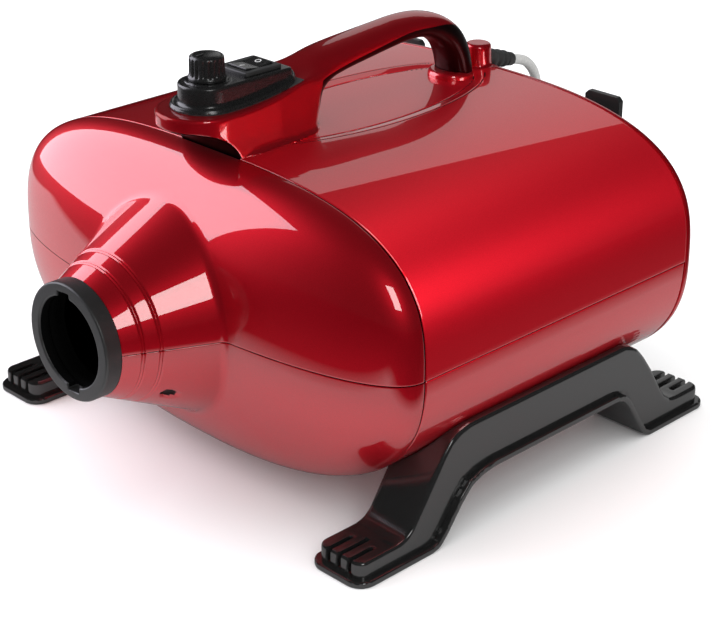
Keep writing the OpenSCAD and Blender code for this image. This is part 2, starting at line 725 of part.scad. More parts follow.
// One skid: upright body on a wider foot flange, slotted toes, cut to the housing's shape
module skid() color(BLACK)
    difference() {
        union() {
            intersection() {
                along_x(skid_x - skid_rib_w - 4, skid_x - 4) polygon(concat(SKID_TOP, SKID_LOW));
                translate([0, 0, -1]) linear_extrude(100) skid_plan(skid_x - skid_rib_w - 4, skid_x - 4, 4, 7);
            }
            intersection() {
                along_x(skid_x - skid_w, skid_x) skid_strip(4);
                translate([0, 0, -1]) linear_extrude(100) skid_plan(skid_x - skid_w, skid_x, 0, 11);
            }
        }
        barrel_solid(seam_y - 50, rear_y, 0.1);
        for (end = [0, 1], i = [-1 : 1])
            translate([skid_x - 4 - skid_rib_w / 2 + 8.4 * i, end == 0 ? skid_front + 1 : skid_rear - 1, 4.2])
                mirror([0, end, 0]) toe_slot(i == 0 ? 20 : 16);
        for (y = [-20, 85]) translate([154, y, 30]) cylinder(r = 2.2, h = 40, $fn = 24);
        for (y = [-20, 85]) translate([154, y, arch_h - 1]) cylinder(r = 4.6, h = 9, $fn = 24);
    }

// Plan of a skid between x0 and x1, its ends drawn in by inset and its corners rounded by r
module skid_plan(x0, x1, inset, r)
    for (y = [skid_front + inset, skid_rear - inset]) {
        hull() for (x = [x0 + r, x1 - r]) {
            translate([x, y == skid_front + inset ? y + r : y - r]) circle(r = r, $fn = 32);
            translate([x, 30]) square([2 * r, 2], center = true);
        }
    }

module toe_slot(length)
    translate([-1.6, 0, 0]) cube([3.2, length, 20]);

module skid_right() skid();
module skid_left() mirror([1, 0, 0]) skid();

module skid_screws() color(STEEL)
    both_sides() for (y = [-20, 85])
        translate([154, y, arch_h + 8]) mirror([0, 0, 1]) screw_pan(1.7, 22);

// Pan-head screw pointing down from the origin
module screw_pan(r, length) {
    rotate_extrude($fn = 24) polygon([[0, 2], [1.6 * r, 1.6], [2 * r, 0], [r, 0], [r, -length], [0, -length]]);
}

module shell_screws() color(STEEL)
    both_sides() for (y = [-50, 40, 130])
        translate([half_w - 14, y, parting_z - 20]) mirror([0, 0, 1]) screw_pan(1.7, 33);

module panel_screws() color(STEEL)
    for (x = [-22, 22], z = [panel_screw_low, panel_screw_high])
        translate([x, panel_y + 3, z]) rotate([-90, 0, 0]) screw_pan(1.6, 12);

// ---------------------------------------------------------------- filters

// Pull-off intake cover: a round cap with slots in its face and a thumb tab on top
module filter_cover(side) color(BLACK)
    translate([side * cover_x, 0, 0]) difference() {
        union() {
            rod_y(0, cover_z, cover_r, cover_y, cover_y + cover_len, 96);
            along_y(cover_y + cover_len - 4, cover_y + cover_len) polygon([[-14, cover_z + 40],
                [-14, 197], [-11.5, 199.5], [11.5, 199.5], [14, 197], [14, cover_z + 40]]);
        }
        rod_y(0, cover_z, cover_r - 4, cover_y - 1, cover_y + cover_len - 2.5, 96);
        for (ring = [[16, 12], [30, 18], [44, 24]], i = [0 : ring[1] - 1])
            translate([0, 0, cover_z]) rotate([0, 360 * i / ring[1], 0])
                translate([ring[0] - 5, cover_y + cover_len - 4, -1.5]) cube([10, 6, 3]);
    }

module filter_foam(side) color("#4a4b4f")
    rod_y(side * cover_x, cover_z, cover_r - 4.05, panel_y + 14.4, cover_y + cover_len - 2.5, 96);

module filter_cover_left() filter_cover(-1);
module filter_cover_right() filter_cover(1);
module filter_foam_left() filter_foam(-1);
module filter_foam_right() filter_foam(1);

// ---------------------------------------------------------------- mains cord

cord_d = 7;
cord_r = cord_d / 2;
// Where the cord leaves the strain relief
exit_y = boss_y + 35 * cos(relief_tilt);
exit_z = relief_z - 35 * sin(relief_tilt);

module strain_relief() color(BLACK)
    translate([0, boss_y, relief_z]) rotate([-90 - relief_tilt, 0, 0]) difference() {
        translate([0, 0, -4]) rotate_extrude($fn = 48)
            polygon([[0, 0], [4.1, 0], [4.1, 15], [6.4, 15.4], [6.4, 19], [5.6, 19.4], [5.6, 21.4], [6.2, 21.8],
                [6.2, 25], [5.3, 25.4], [5.3, 27.4], [5.8, 27.8], [5.8, 31], [5, 31.4], [4.4, 39], [0, 39]]);
        translate([0, 0, -5]) cylinder(r = 2, h = 3, $fn = 24);
    }

module cord_clamp() color(BLACK)
    translate([0, 134, ceiling_z - 2]) difference() {
        translate([-11, -5, -3]) cube([22, 10, 5]);
        for (x = [-8, 8]) translate([x, 0, -4]) cylinder(r = 1.6, h = 8, $fn = 24);
    }

// Direction of a route at its point i
function along(route, i) = unit(route[min(i + 1, len(route) - 1)] - route[max(i - 1, 0)]);

// A tube of radius r along the route, with flat ends
module tube(route, r, sides, ref = [1, 0, 0])
    loft([for (i = [0 : len(route) - 1])
        let (v = along(route, i), u = unit(cross(v, ref)), w = cross(v, u))
        [for (k = [0 : sides - 1]) let (a = 360 * (k + 0.5) / sides) route[i] + r * (cos(a) * u + sin(a) * w)]]);

coil_turns = 10.25;
coil_layers = 4;
coil_out = 49;
coil_pitch = 7.6;
coil_steps = 24;
layer_turns = coil_turns / coil_layers;
coil_x = -coil_out;
coil_y = 263;

// Radius, height and place of the coil's centreline after n turns
function coil_r(n) = let (k = floor(n / layer_turns), f = n - k * layer_turns)
    coil_out - coil_pitch * (k % 2 == 0 ? f : layer_turns - f);
function coil_z(n) = cord_r + coil_pitch * (ease(layer_turns - 0.25, layer_turns + 0.25, n)
    + ease(2 * layer_turns - 0.25, 2 * layer_turns + 0.25, n)
    + ease(3 * layer_turns - 0.25, 3 * layer_turns + 0.25, n));
function coil_pt(n) = [coil_x + coil_r(n) * cos(360 * n), coil_y + coil_r(n) * sin(360 * n), coil_z(n)];
coil_n = floor(coil_turns * coil_steps);
coil_start = [coil_x + coil_out, coil_y - cord_d, cord_r];
tail_start = coil_pt(coil_turns) + [-cord_d, 0, 0];
coil_points = concat([coil_start], [for (i = [0 : coil_n]) coil_pt(i * coil_turns / coil_n)], [tail_start]);

module cord_coil() color(GREY) tube(coil_points, cord_r, 6, [0, 0, 1]);

// Route of the cord down behind the housing, from the strain relief's end: [y, z]
ROUTE = [[0, 0], [8, -2], [14.5, -4.6], [19.5, -8.5], [24, -14], [27, -21], [28, -28.5], [28, -40],
    [28, -60], [28, -80], [28, -100], [28, -120], [28, -140], [28, -153]];
// Its last stretch, along the floor into the coil, from the coil's start: [y, z]
FLOOR_ROUTE = [[-43, 29], [-41.5, 20], [-37.5, 12], [-31, 5.6], [-23, 1.4], [-14, 0], [-7, 0], [0, 0]];
lead_route = concat([for (p = ROUTE) [0, exit_y + p[0], exit_z + p[1]]],
    [for (p = FLOOR_ROUTE) coil_start + [0, p[0], p[1]]]);

module cord_lead() color(GREY) tube(lead_route, cord_r, 8);

// Least gap between the coil's loops, over points at least half a turn apart
coil_gap = min([for (i = [0 : coil_n + 2], j = [i + 12 : 1 : coil_n + 2])
    norm(coil_points[i] - coil_points[j])]) - cord_d;
echo(coil_gap = coil_gap);

TAIL = [[0, 0], [-7, 0], [-14, -1], [-23, -4.2], [-32, -8.6], [-40, -11.5], [-46, -12.3], [-53, -12.3]];
module cord_tail() color(GREY)
    tube([for (p = TAIL) tail_start + [p[0], 0, p[1]]], cord_r, 8, [0, 1, 0]);

plug_at = tail_start + [TAIL[7][0], 0, TAIL[7][1]];

module plug_body() color(GREY)
    translate(plug_at) rotate([0, -90, 0]) {
        rotate_extrude($fn = 48) polygon([[0, 0], [4.4, 0], [5.6, 10], [5.6, 14], [0, 14]]);
        translate([0, 0, 14]) hull() {
            cylinder(r = 8, h = 1, $fn = 32);
            translate([0, 0, 10]) cylinder(r = 13, h = 16, $fn = 32);
        }
    }

module plug_pins() color("#c9a24a")
    translate(plug_at) rotate([0, -90, 0]) translate([0, 0, 40]) {
        for (y = [-6.35, 6.35]) translate([-3.2, y - 0.75, 0]) cube([6.4, 1.5, 17]);
        translate([-9, 0, 0]) cylinder(r = 2.4, h = 19, $fn = 32);
    }

front_cap_upper();
front_cap_lower();
upper_shell();
lower_shell();
rear_bezel();
rear_panel();
handle_shell();
handle_underside();
control_panel();
panel_gasket();
potentiometer();
rocker_housing();
speed_board();
heat_sink();
terminal_block();
motor_bulkhead();
motor_cradle();
motor_mounts();
fan_cans();
motor_frames();
stators();
bearings();
brush_holders();
rotor_left();
impeller_left();
rotor_right();
impeller_right();
sound_liner();
outlet_ring();
outlet_seal();
skid_left();
skid_right();
skid_screws();
shell_screws();
panel_screws();
filter_cover_left();
filter_foam_left();
filter_cover_right();
filter_foam_right();
speed_knob();
knob_pointer();
rocker_key();
strain_relief();
cord_clamp();
cord_lead();
cord_coil();
cord_tail();
plug_body();
plug_pins();
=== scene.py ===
"""Twin-motor pet dryer: glossy red housing on black skids, hose outlet in front, handle with
the controls on top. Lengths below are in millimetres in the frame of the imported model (front
-Y, up +Z, floor at z = 0); add_piece(), make_cord() and make_camera() turn them into metres.
Lamps and floor are in metres."""
import json
import math

import bmesh
import bpy
import numpy as np
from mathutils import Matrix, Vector


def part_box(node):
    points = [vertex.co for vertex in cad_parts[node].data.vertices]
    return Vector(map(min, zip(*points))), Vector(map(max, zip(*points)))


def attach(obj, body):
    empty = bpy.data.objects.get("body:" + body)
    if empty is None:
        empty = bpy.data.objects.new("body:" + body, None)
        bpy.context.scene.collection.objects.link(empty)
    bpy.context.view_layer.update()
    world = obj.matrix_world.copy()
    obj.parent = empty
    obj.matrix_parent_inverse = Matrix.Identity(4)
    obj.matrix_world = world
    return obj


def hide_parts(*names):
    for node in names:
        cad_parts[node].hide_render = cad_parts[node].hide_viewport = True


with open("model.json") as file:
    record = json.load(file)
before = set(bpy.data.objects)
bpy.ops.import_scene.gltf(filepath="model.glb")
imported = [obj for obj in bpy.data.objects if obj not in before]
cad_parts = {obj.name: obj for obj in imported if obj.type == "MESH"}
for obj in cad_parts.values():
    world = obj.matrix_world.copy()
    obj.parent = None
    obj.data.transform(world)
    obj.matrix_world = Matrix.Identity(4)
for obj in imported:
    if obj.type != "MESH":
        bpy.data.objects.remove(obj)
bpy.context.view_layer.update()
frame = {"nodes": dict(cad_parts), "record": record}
MM = 0.001


def node_box(node):
    """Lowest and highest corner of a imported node, in millimetres."""
    low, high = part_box(node)
    return np.array(low) / MM, np.array(high) / MM


# ---- sizes taken from the frame
LOWER_LOW, LOWER_HIGH = node_box("lower_shell")
CAP_HIGH = node_box("front_cap_upper")[1]
RING_LOW, RING_HIGH = node_box("outlet_ring")

HALF_W = LOWER_HIGH[0]
PARTING_Z = LOWER_HIGH[2]
SHELL_TOP = CAP_HIGH[2]
TOP_H = SHELL_TOP - PARTING_Z
BOTTOM_H = PARTING_Z - LOWER_LOW[2]
REAR_Y = node_box("rear_bezel")[1][1]
BEZEL_Y = REAR_Y - 4
CAP_Y = CAP_HIGH[1]
SEAM_Y = CAP_Y + 0.6
OUTLET_Y = RING_LOW[1]
OUTLET_R = RING_HIGH[0]

# ---- other driving sizes
TOP_POWER, BOTTOM_POWER = 3.0, 2.4
CAP_DEPTH, CAP_POWER = 47.0, 2.2
WALL = 3.0
SEAM_LIP, PARTING_LIP, PARTING_GAP = 0.9, 0.7, 0.3
RING_LEN, BORE_R, BORE_LIP, BORE_STEP = 11.0, 27.7, 1.2, 5.7
KEYWAY_TURNS = (-4.0, 176.0)
CONE_SLOPE, CONE_BLEND, CONE_NEAR = 0.49, 3.5, 27
CONE_GROOVES, GROOVE_DEEP, GROOVE_WIDE = (10.2, 11.7, 19.6, 21.1), 0.45, 0.35
SCREW_Y, SCREW_TURN, SCREW_R, SCREW_DEEP = -151.0, math.radians(42), 4.6, 2.2
DECK_Y, DECK_LONG, DECK_WIDE, DECK_DEEP = 40.0, 108.0, 45.0, 1.5
RIM_START, RIM_SLOPE = 1.0, 6.8
RIM_OUT, RIM_IN, RIM_LINE, RIM_LINE_DEEP, RIM_LINE_X = 0.5, 8.2, 0.42, 0.4, 12
POD_R, POD_Y, POD_Z = 26.0, -89.0, 232.0
POD_RISE, POD_RISE_Y, POD_RISE_POWER = 12, -75, 1.6
SCOOP_LONG, SCOOP_HIGH, SCOOP_DROP, SCOOP_SCALE = 33, 25, 7, 27
GRIP_POWER = 2.25
KNOB_Y, ROCKER_Y = -82.5, -49.5
BLOCK_R, BLOCK_Y, BLOCK_END, BLOCK_Z = 16.3, -84.0, -30.0, 246.5
FLANGE_OUT, FLANGE_UP, BEAD_R = 5.1, 2.1, 1.0
COLLAR_R, COLLAR_UP, COLLAR_GROOVE, SHAFT_HOLE = 13.4, 0.8, 12.3, 4.6
KEY_HALF_X, KEY_HALF_Y = 8.2, 10.2
LEG_Y = 125.0
SOCKET_TOP, SEAT_Y, SEAT_R = 208.2, LEG_Y - 0.5, 14.9
BOSS_Y, BOSS_R, BOSS_TOP = 151.0, 9.3, SHELL_TOP + 12
RELIEF_Z, RELIEF_TILT = SHELL_TOP + 4.5, math.radians(14.0)
SKID_X, SKID_FRONT, SKID_BACK = 154.0, -131.0, 192.0
FOOT_H, ARCH_H, RAIL_H = 14.5, 37.0, 71.0
CORD_D = 7.0

# ---- camera, floor and light
CAMERA_AT = (802.7, -745.8, 582.7)
CAMERA_TURN = (65.493, -0.09, 45.384)
CAMERA_LENS = 94.73
CAMERA_SHIFT = (-0.0150, -0.0185)
WORLD_FILL, WORLD_REFLECTED = 0.97, 0.01
FLOOR_SIZE, FLOOR_SEEN, FLOOR_REFLECTED = 12, 0.99, 0.44
# Edges of the floor's painted pool of light for reflections, and their softness
FLOOR_PAINTED_POOL, FLOOR_SOFT = (("X", -0.8, 1), ("X", 0.31, -1), ("Y", -0.33, 1)), 0.03
LAMPS_AIM = (0, 0, 0.12)


def make_camera():
    """Camera above the front right corner, looking down at the whole dryer."""
    data = bpy.data.cameras.new("camera")
    data.sensor_width = 36
    data.lens = CAMERA_LENS
    data.shift_x, data.shift_y = CAMERA_SHIFT
    data.clip_start, data.clip_end = 0.05, 20
    camera = bpy.data.objects.new("camera", data)
    camera.location = Vector(CAMERA_AT) * MM
    camera.rotation_euler = [math.radians(a) for a in CAMERA_TURN]
    bpy.context.collection.objects.link(camera)
    bpy.context.scene.camera = camera


# ---- mesh helpers
def add_piece(name, points, faces, body="housing", smooth=35.0):
    """A closed mesh from points in millimetres and faces of three or four corners, facing
    outwards and shaded smooth up to an edge angle in degrees."""
    mesh = bpy.data.meshes.new(name)
    mesh.from_pydata((np.asarray(points, float).reshape(-1, 3) * MM).tolist(), [],
                     [list(map(int, face)) for face in faces])
    mesh.update()
    piece = bpy.data.objects.new(name, mesh)
    bpy.context.collection.objects.link(piece)
    mesh.shade_smooth()
    mesh.set_sharp_from_angle(angle=math.radians(smooth))
    turn_outwards(mesh)
    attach(piece, body)
    return piece


def stand_in(node, points, faces, body="housing", smooth=40.0):
    """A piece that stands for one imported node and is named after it."""
    piece = add_piece(node + "_skin", points, faces, body, smooth)
    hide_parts(node)
    return piece


def turn_outwards(mesh):
    """Turns a closed mesh's faces round if its volume comes out negative."""
    edit = bmesh.new()
    edit.from_mesh(mesh)
    if edit.calc_volume(signed=True) < 0:
        bmesh.ops.reverse_faces(edit, faces=edit.faces)
        edit.to_mesh(mesh)
    edit.free()


def shade(piece, share):
    """Marks the points that get painted shade, in gaps, grooves, recesses and on inside walls, and
    on the grip's underside, which is partly its own darker colour and partly painted shade.
    """
    mark = piece.data.attributes.new("shade", "FLOAT", "POINT")
    mark.data.foreach_set("value", np.asarray(share, np.float32).ravel())


def grid_faces(rows, cols, wrap_rows=False, wrap_cols=False):
    """Quads of a grid of rows x cols points, closed round either way if asked."""
    i = np.arange(rows if wrap_rows else rows - 1)[:, None]
    j = np.arange(cols if wrap_cols else cols - 1)[None, :]
    i2, j2 = (i + 1) % rows, (j + 1) % cols
    quads = np.stack([i * cols + j, i * cols + j2, i2 * cols + j2, i2 * cols + j], axis=-1)
    return quads.reshape(-1, 4)


def points_at(x, y, z):
    """Points from coordinates of any shapes that fit together."""
    return np.stack(np.broadcast_arrays(x, y, z), -1)


def full_turn(count):
    """Directions of count even steps round the circle."""
    return np.linspace(0, 2 * np.pi, count, endpoint=False)


def signed_power(base, power):
    """Power that keeps the sign of its base."""
    return np.sign(base) * abs(base) ** power


def smooth_step(a, b, x):
    """0 below a, 1 above b, a cubic ease between."""
    u = np.clip((x - a) / (b - a), 0, 1)
    return u * u * (3 - 2 * u)


# ---- fields (negative inside)
PULLS, PULL, PROBE, LEAST_SLOPE = 3, 0.9, 0.05, 0.05


def blend_min(a, b, k):
    """Union of two fields with a fillet of about k: the lower one, less k/4 where they meet."""
    h = np.clip(0.5 + 0.5 * (b - a) / k, 0, 1)
    return b * (1 - h) + a * h - k * h * (1 - h)


def blend_max(a, b, k):
    """Overlap of two fields with a rounded edge of about k."""
    return -blend_min(-a, -b, k)


def two_circles(x, y, y0, r0, y1, r1):
    """Distance to the tight outline round two circles on the line x = 0."""
    x = abs(x)
    length = y1 - y0
    b = (r0 - r1) / length
    a = math.sqrt(1 - b * b)
    v = y - y0
    k = -b * x + a * v
    low = np.hypot(x, v) - r0
    high = np.hypot(x, v - length) - r1
    side = a * x + b * v - r0
    return np.where(k < 0, low, np.where(k > a * length, high, side))


def cells_by(at, a, da, b, db, cells):
    """Cells beside grid edges, da and db steps back along two axes, and which of them exist."""
    cell = at.copy()
    cell[:, a] -= da
    cell[:, b] -= db
    return cell, ((cell >= 0) & (cell < np.array(cells))).all(axis=1)


def skin_of(field, low, high, step):
    """Skin of field(x, y, z) = 0: one point in each cell that the surface crosses, at the mean of
    its edge crossings and then pulled on to the surface along the slope, and one quad for each
    grid edge that the surface crosses."""
    axes = [np.arange(low[k], high[k] + step, step) for k in range(3)]
    x, y, z = np.meshgrid(*axes, indexing="ij", sparse=True)
    f = np.broadcast_to(field(x, y, z), [len(a) for a in axes])
    inside = f < 0
    cells = tuple(n - 1 for n in f.shape)
    total = np.zeros(cells + (3,))
    count = np.zeros(cells)
    crossings = []
    for k in range(3):
        here = [slice(None)] * 3
        there = [slice(None)] * 3
        here[k], there[k] = slice(0, -1), slice(1, None)
        f0, f1 = f[tuple(here)], f[tuple(there)]
        at = np.argwhere(inside[tuple(here)] != inside[tuple(there)])
        g0, g1 = f0[tuple(at.T)], f1[tuple(at.T)]
        where = at.astype(float)
        where[:, k] += g0 / (g0 - g1)
        crossings.append((k, at, g0 < 0))
        a, b = [m for m in range(3) if m != k]
        for da, db in ((0, 0), (0, 1), (1, 0), (1, 1)):
            cell, good = cells_by(at, a, da, b, db, cells)
            np.add.at(total, tuple(cell[good].T), where[good])
            np.add.at(count, tuple(cell[good].T), 1)
    active = count > 0
    index = -np.ones(cells, int)
    index[active] = np.arange(active.sum())
    points = total[active] / count[active][:, None] * step + np.asarray(low)
    faces = []
    for k, at, rising in crossings:
        a, b = [(1, 2), (2, 0), (0, 1)][k]
        beside = [cells_by(at, a, da, b, db, cells) for da, db in ((0, 0), (1, 0), (1, 1), (0, 1))]
        good = np.all([exists for _, exists in beside], axis=0)
        quad = np.stack([index[tuple(np.clip(cell, 0, np.array(cells) - 1).T)]
                         for cell, _ in beside], -1)[good]
        rising = rising[good]
        quad[~rising] = quad[~rising][:, ::-1]
        faces.append(quad)
    for _ in range(PULLS):
        slope = np.stack([field(*(points + side).T) - field(*(points - side).T)
                          for side in PROBE * np.eye(3)], -1) / (2 * PROBE)
        size = np.maximum((slope ** 2).sum(-1), LEAST_SLOPE)
        move = np.clip(field(*points.T) / size, -step, step)[:, None] * slope
        points = points - PULL * move
    return points, np.concatenate(faces)


# ---- housing
def section_radius(turn, inset):
    """Distance of the barrel's edge from the outlet's axis in a direction: a superellipse."""
    up = np.sin(turn) >= 0
    power = np.where(up, TOP_POWER, BOTTOM_POWER)
    height = np.where(up, TOP_H, BOTTOM_H) - inset
    across = abs(np.cos(turn)) / (HALF_W - inset)
    upright = abs(np.sin(turn)) / height
    return (across ** power + upright ** power) ** (-1 / power)


def section_point(turn, inset):
    """Point of the barrel's section at a superellipse angle, drawn in by inset."""
    up = np.sin(turn) >= -1e-9
    power = np.where(up, TOP_POWER, BOTTOM_POWER)
    height = np.where(up, TOP_H, BOTTOM_H) - inset
    return ((HALF_W - inset) * signed_power(np.cos(turn), 2 / power),
            height * signed_power(np.sin(turn), 2 / power))


def even_turns(up, count, rim=None):
    """Superellipse angles at about even steps along one half of the section, closer together
    between two distances from the middle plane if asked."""
    start = 0.0 if up else math.pi
    fine = start + np.linspace(0, math.pi, 4001)
    x, z = section_point(fine, 0.0)
    if up:
        x[0], z[0], x[-1], z[-1] = HALF_W, 0, -HALF_W, 0
    weight = 1.0 + 0 * x
    if rim:
        aside = abs(x)
        weight += 1 - smooth_step(rim[1], rim[1] + 15, aside)
        band = smooth_step(rim[0] - 3, rim[0], aside) * smooth_step(rim[1] + 3, rim[1], aside)
        weight += 6 * band
    along = np.hypot(np.diff(x), np.diff(z)) * 0.5 * (weight[1:] + weight[:-1])
    along = np.concatenate([[0], np.cumsum(along)])
    return np.interp(np.linspace(0, along[-1], count), along, fine)


def lip(distance, radius):
    """How far a rounded edge of a radius falls back at a distance from the edge."""
    u = np.clip((radius - distance) / radius, 0, 1)
    return radius * (1 - np.sqrt(1 - u * u))


def with_fine_ends(values, edge=1.2, parts=4):
    """Rows along a wall with a few extra ones close to both ends, for a rounded lip."""
    near = np.linspace(0, edge, parts, endpoint=False)
    low, high = values[0], values[-1]
    middle = values[(values > low + edge) & (values < high - edge)]
    return np.concatenate([low + near, [low + edge], middle, [high - edge], (high - near)[::-1]])


def deck_depth(x, y):
    """Depth of the finger recess under the handle, an ellipse in plan with a sloping rim between
    two fine lines, and where those lines are."""
    q = np.sqrt((x / DECK_WIDE) ** 2 + ((y - DECK_Y) / DECK_LONG) ** 2) + 1e-6
    slope = np.sqrt((x / DECK_WIDE ** 2) ** 2 + ((y - DECK_Y) / DECK_LONG ** 2) ** 2) / q
    inward = (1 - q) / np.maximum(slope, 1e-6)
    lines = sum(np.exp(-((inward - at) / RIM_LINE) ** 2) for at in (RIM_OUT, RIM_IN))
    lines = lines * (abs(x) > RIM_LINE_X)
    slope_share = np.clip((inward - RIM_START) / RIM_SLOPE, 0, 1)
    return DECK_DEEP * slope_share + RIM_LINE_DEEP * lines, lines


def barrel_half(node, up):
    """Half of the barrel's wall: its section carried along Y, with rounded lips at the parting
    line and the seams, and on the upper half the recess under the handle."""
    if up:
        count, rim, height, power, step = 292, (28, 46), TOP_H, TOP_POWER, 1.6
    else:
        count, rim, height, power, step = 150, None, BOTTOM_H, BOTTOM_POWER, 6.0
    turns = even_turns(up, count, rim)
    close = (np.array([0.15, 0.35, 0.6, 1.0]) / height) ** (power / 2)
    turns = np.sort(np.concatenate([turns, turns[0] + close, turns[-1] - close]))
    ys = with_fine_ends(np.arange(SEAM_Y, BEZEL_Y - 0.4 + 0.01, step))
    x, z = section_point(turns, 0.0)
    x[0], x[-1] = (HALF_W, -HALF_W) if up else (-HALF_W, HALF_W)
    z[0] = z[-1] = 0
    parting = np.minimum(abs(z), 30)
    end = np.minimum(ys - ys[0], ys[-1] - ys)
    inset = np.maximum(lip(parting, PARTING_LIP), lip(end, SEAM_LIP)[:, None])
    ix, iz = section_point(turns, WALL)
    away = np.hypot(x - ix, z - iz)
    nx, nz = (x - ix) / away, (z - iz) / away
    gap = PARTING_GAP if up else -PARTING_GAP
    px, py = x - inset * nx, ys[:, None]
    pz = np.where(abs(z) < 1e-6, 0, z - inset * nz)
    # Painted shade on the parting gap and the front seam
    dark = np.maximum(parting < 0.2, py < SEAM_Y + 0.2).astype(float)
    if up:
        depth, lines = deck_depth(px, py)
        pz = pz - np.where(abs(px) < 60, depth, 0)
        # Painted shade in the recess's two fine rim lines
        dark = np.maximum(dark, lines)
    outer = points_at(px, py, PARTING_Z + pz + np.where(parting < 0.01, gap, 0))
    inner = points_at(ix, py, PARTING_Z + iz)
    return wall_between(node, outer, inner, dark)


def wall_between(node, outer, inner, dark):
    """A closed wall between two grids of points of the same size, which stands for a node, with
    painted shade marked on its dark gap points and over its whole inside."""
    rows, cols = outer.shape[:2]
    count = rows * cols
    face = grid_faces(rows, cols)
    rim = np.concatenate([np.arange(cols), np.arange(1, rows) * cols + cols - 1,
                          (rows - 1) * cols + np.arange(cols - 2, -1, -1),
                          np.arange(rows - 2, 0, -1) * cols])
    nxt = np.roll(rim, -1)
    edge = np.stack([nxt, rim, rim + count, nxt + count], -1)
    faces = np.concatenate([face, face[:, ::-1] + count, edge])
    piece = stand_in(node, np.stack([outer, inner]), faces, smooth=35.0)
    # Painted shade on the marked gap points and on the whole inside sheet
    shade(piece, [dark, np.ones_like(dark)])
    return piece


def cone_rows():
    """Distances behind the outlet ring at which the cone's last stretch has its rows, closer
    together round the grooves, from the widest one down."""
    round_grooves = [at + np.linspace(-1, 1, 9) for at in CONE_GROOVES]
    rows = np.concatenate([np.linspace(0, CONE_NEAR, 46), *round_grooves])
    return np.unique(np.round(rows, 2))[::-1]


def cap_run(turn, inset):
    """Rows [distance from the axis, y] of the front cap in one direction: a superellipse shoulder,
    a quadratic blend over the corner and the straight cone, as in the construction."""
    r = section_radius(turn, inset)
    depth = CAP_DEPTH - inset
    power = CAP_POWER - 0.35 * smooth_step(0.05, 0.6, -np.sin(turn))
    tip_y, tip_r = OUTLET_Y + RING_LEN, OUTLET_R - inset

    def shoulder_y(share):
        return CAP_Y - depth * np.maximum(0, 1 - share ** power) ** (1 / power)

    low, high = np.zeros_like(r), np.ones_like(r)
    for _ in range(40):
        mid = 0.5 * (low + high)
        outside = mid * r > tip_r + (shoulder_y(mid) - tip_y) * CONE_SLOPE
        low, high = np.where(outside, low, mid), np.where(outside, mid, high)
    s = 0.5 * (low + high)
    s1 = np.minimum(1, s + CONE_BLEND / r)
    corner = np.stack([s * r, shoulder_y(s)], -1)
    start = np.stack([s1 * r, shoulder_y(s1)], -1)
    end_y = corner[:, 1] - CONE_BLEND
    end = np.stack([tip_r + (end_y - tip_y) * CONE_SLOPE, end_y], -1)
    first = np.concatenate([[0, 0.004, 0.009, 0.016, 0.025], np.linspace(0.04, 1, 56)])[:, None]
    a = np.arccos(s1 ** (power / 2)) * first
    shoulder_r = r * np.cos(a) ** (2 / power)
    shoulder = np.stack([shoulder_r, CAP_Y - depth * np.sin(a) ** (2 / power)], -1)
    u = np.linspace(0, 1, 9)[1:-1][:, None, None]
    blend = (1 - u) ** 2 * start + 2 * u * (1 - u) * corner + u ** 2 * end
    down = np.linspace(0, 1, 14)[:-1, None]
    behind = np.concatenate([end_y - tip_y + (CONE_NEAR - end_y + tip_y) * down,
                             cone_rows()[:, None] + 0 * r])
    cone = np.stack([tip_r + behind * CONE_SLOPE, tip_y + behind], -1)
    return np.concatenate([shoulder, blend, cone])


def front_cap(node, up):
    """Half of the front cap: cap_run() swept round half a turn about the outlet's axis, with a
    rounded lip at the seam and the parting line, fine grooves round the cone, and a round screw
    recess low on each side of the lower half."""
    start = 0.0 if up else math.pi
    close = np.array([0.002, 0.004, 0.007, 0.011, 0.016])
    turns = start + np.concatenate([np.linspace(0, math.pi, 181), close, math.pi - close])
    turns = np.sort(turns)
    sheets = []
    for inset in (0.0, WALL):
        run = cap_run(turns, inset)
        r, y = run[..., 0], run[..., 1]
        if inset == 0:
            r = r - lip(CAP_Y - y, SEAM_LIP)
            for at in CONE_GROOVES:
                behind = y - OUTLET_Y - RING_LEN - at
                r = r - GROOVE_DEEP * np.exp(-(behind / GROOVE_WIDE) ** 2)
            aside = abs(turns - 1.5 * math.pi) - (0.5 * math.pi - SCREW_TURN)
            away = np.hypot(aside * r, (y - SCREW_Y) * math.hypot(1, CONE_SLOPE))
            recess = smooth_step(SCREW_R + 0.5, SCREW_R - 0.5, away)
            r = r - SCREW_DEEP * recess
        x, z = r * np.cos(turns), r * np.sin(turns)
        if inset == 0:
            x = x - np.sign(x) * lip(abs(z), PARTING_LIP) * abs(np.cos(turns))
            # Painted shade on the parting gap and the seam, and on the lower half in the screw
            # recess
            dark = np.maximum(abs(z) < 0.2, CAP_Y - y < 0.2)
            dark = dark if up else np.maximum(dark, recess > 0.8)
            z = np.where(abs(z) < 1e-6, PARTING_GAP if up else -PARTING_GAP, z)
        sheets.append(points_at(x, y, PARTING_Z + z))
    return wall_between(node, *sheets, dark)


def rear_bezel():
    """Band that closes the barrel behind: the section with a rounded rear edge and a front lip."""
    turns = np.concatenate([even_turns(True, 160)[:-1], even_turns(False, 160)[:-1]])
    profile = [(0.9, 0.0), (0.25, 0.25), (0.0, 0.9), (0.0, 2.6), (0.4, 3.5), (1.3, 4.0),
               (8.2, 4.0), (9.0, 3.6), (9.0, 0.4), (8.6, 0.0)]
    rows = []
    for inset, y in profile:
        x, z = section_point(turns, inset)
        rows.append(points_at(x, BEZEL_Y + y, PARTING_Z + z))
    faces = grid_faces(len(profile), len(turns), wrap_rows=True, wrap_cols=True)
    return stand_in("rear_bezel", rows, faces, smooth=35.0)


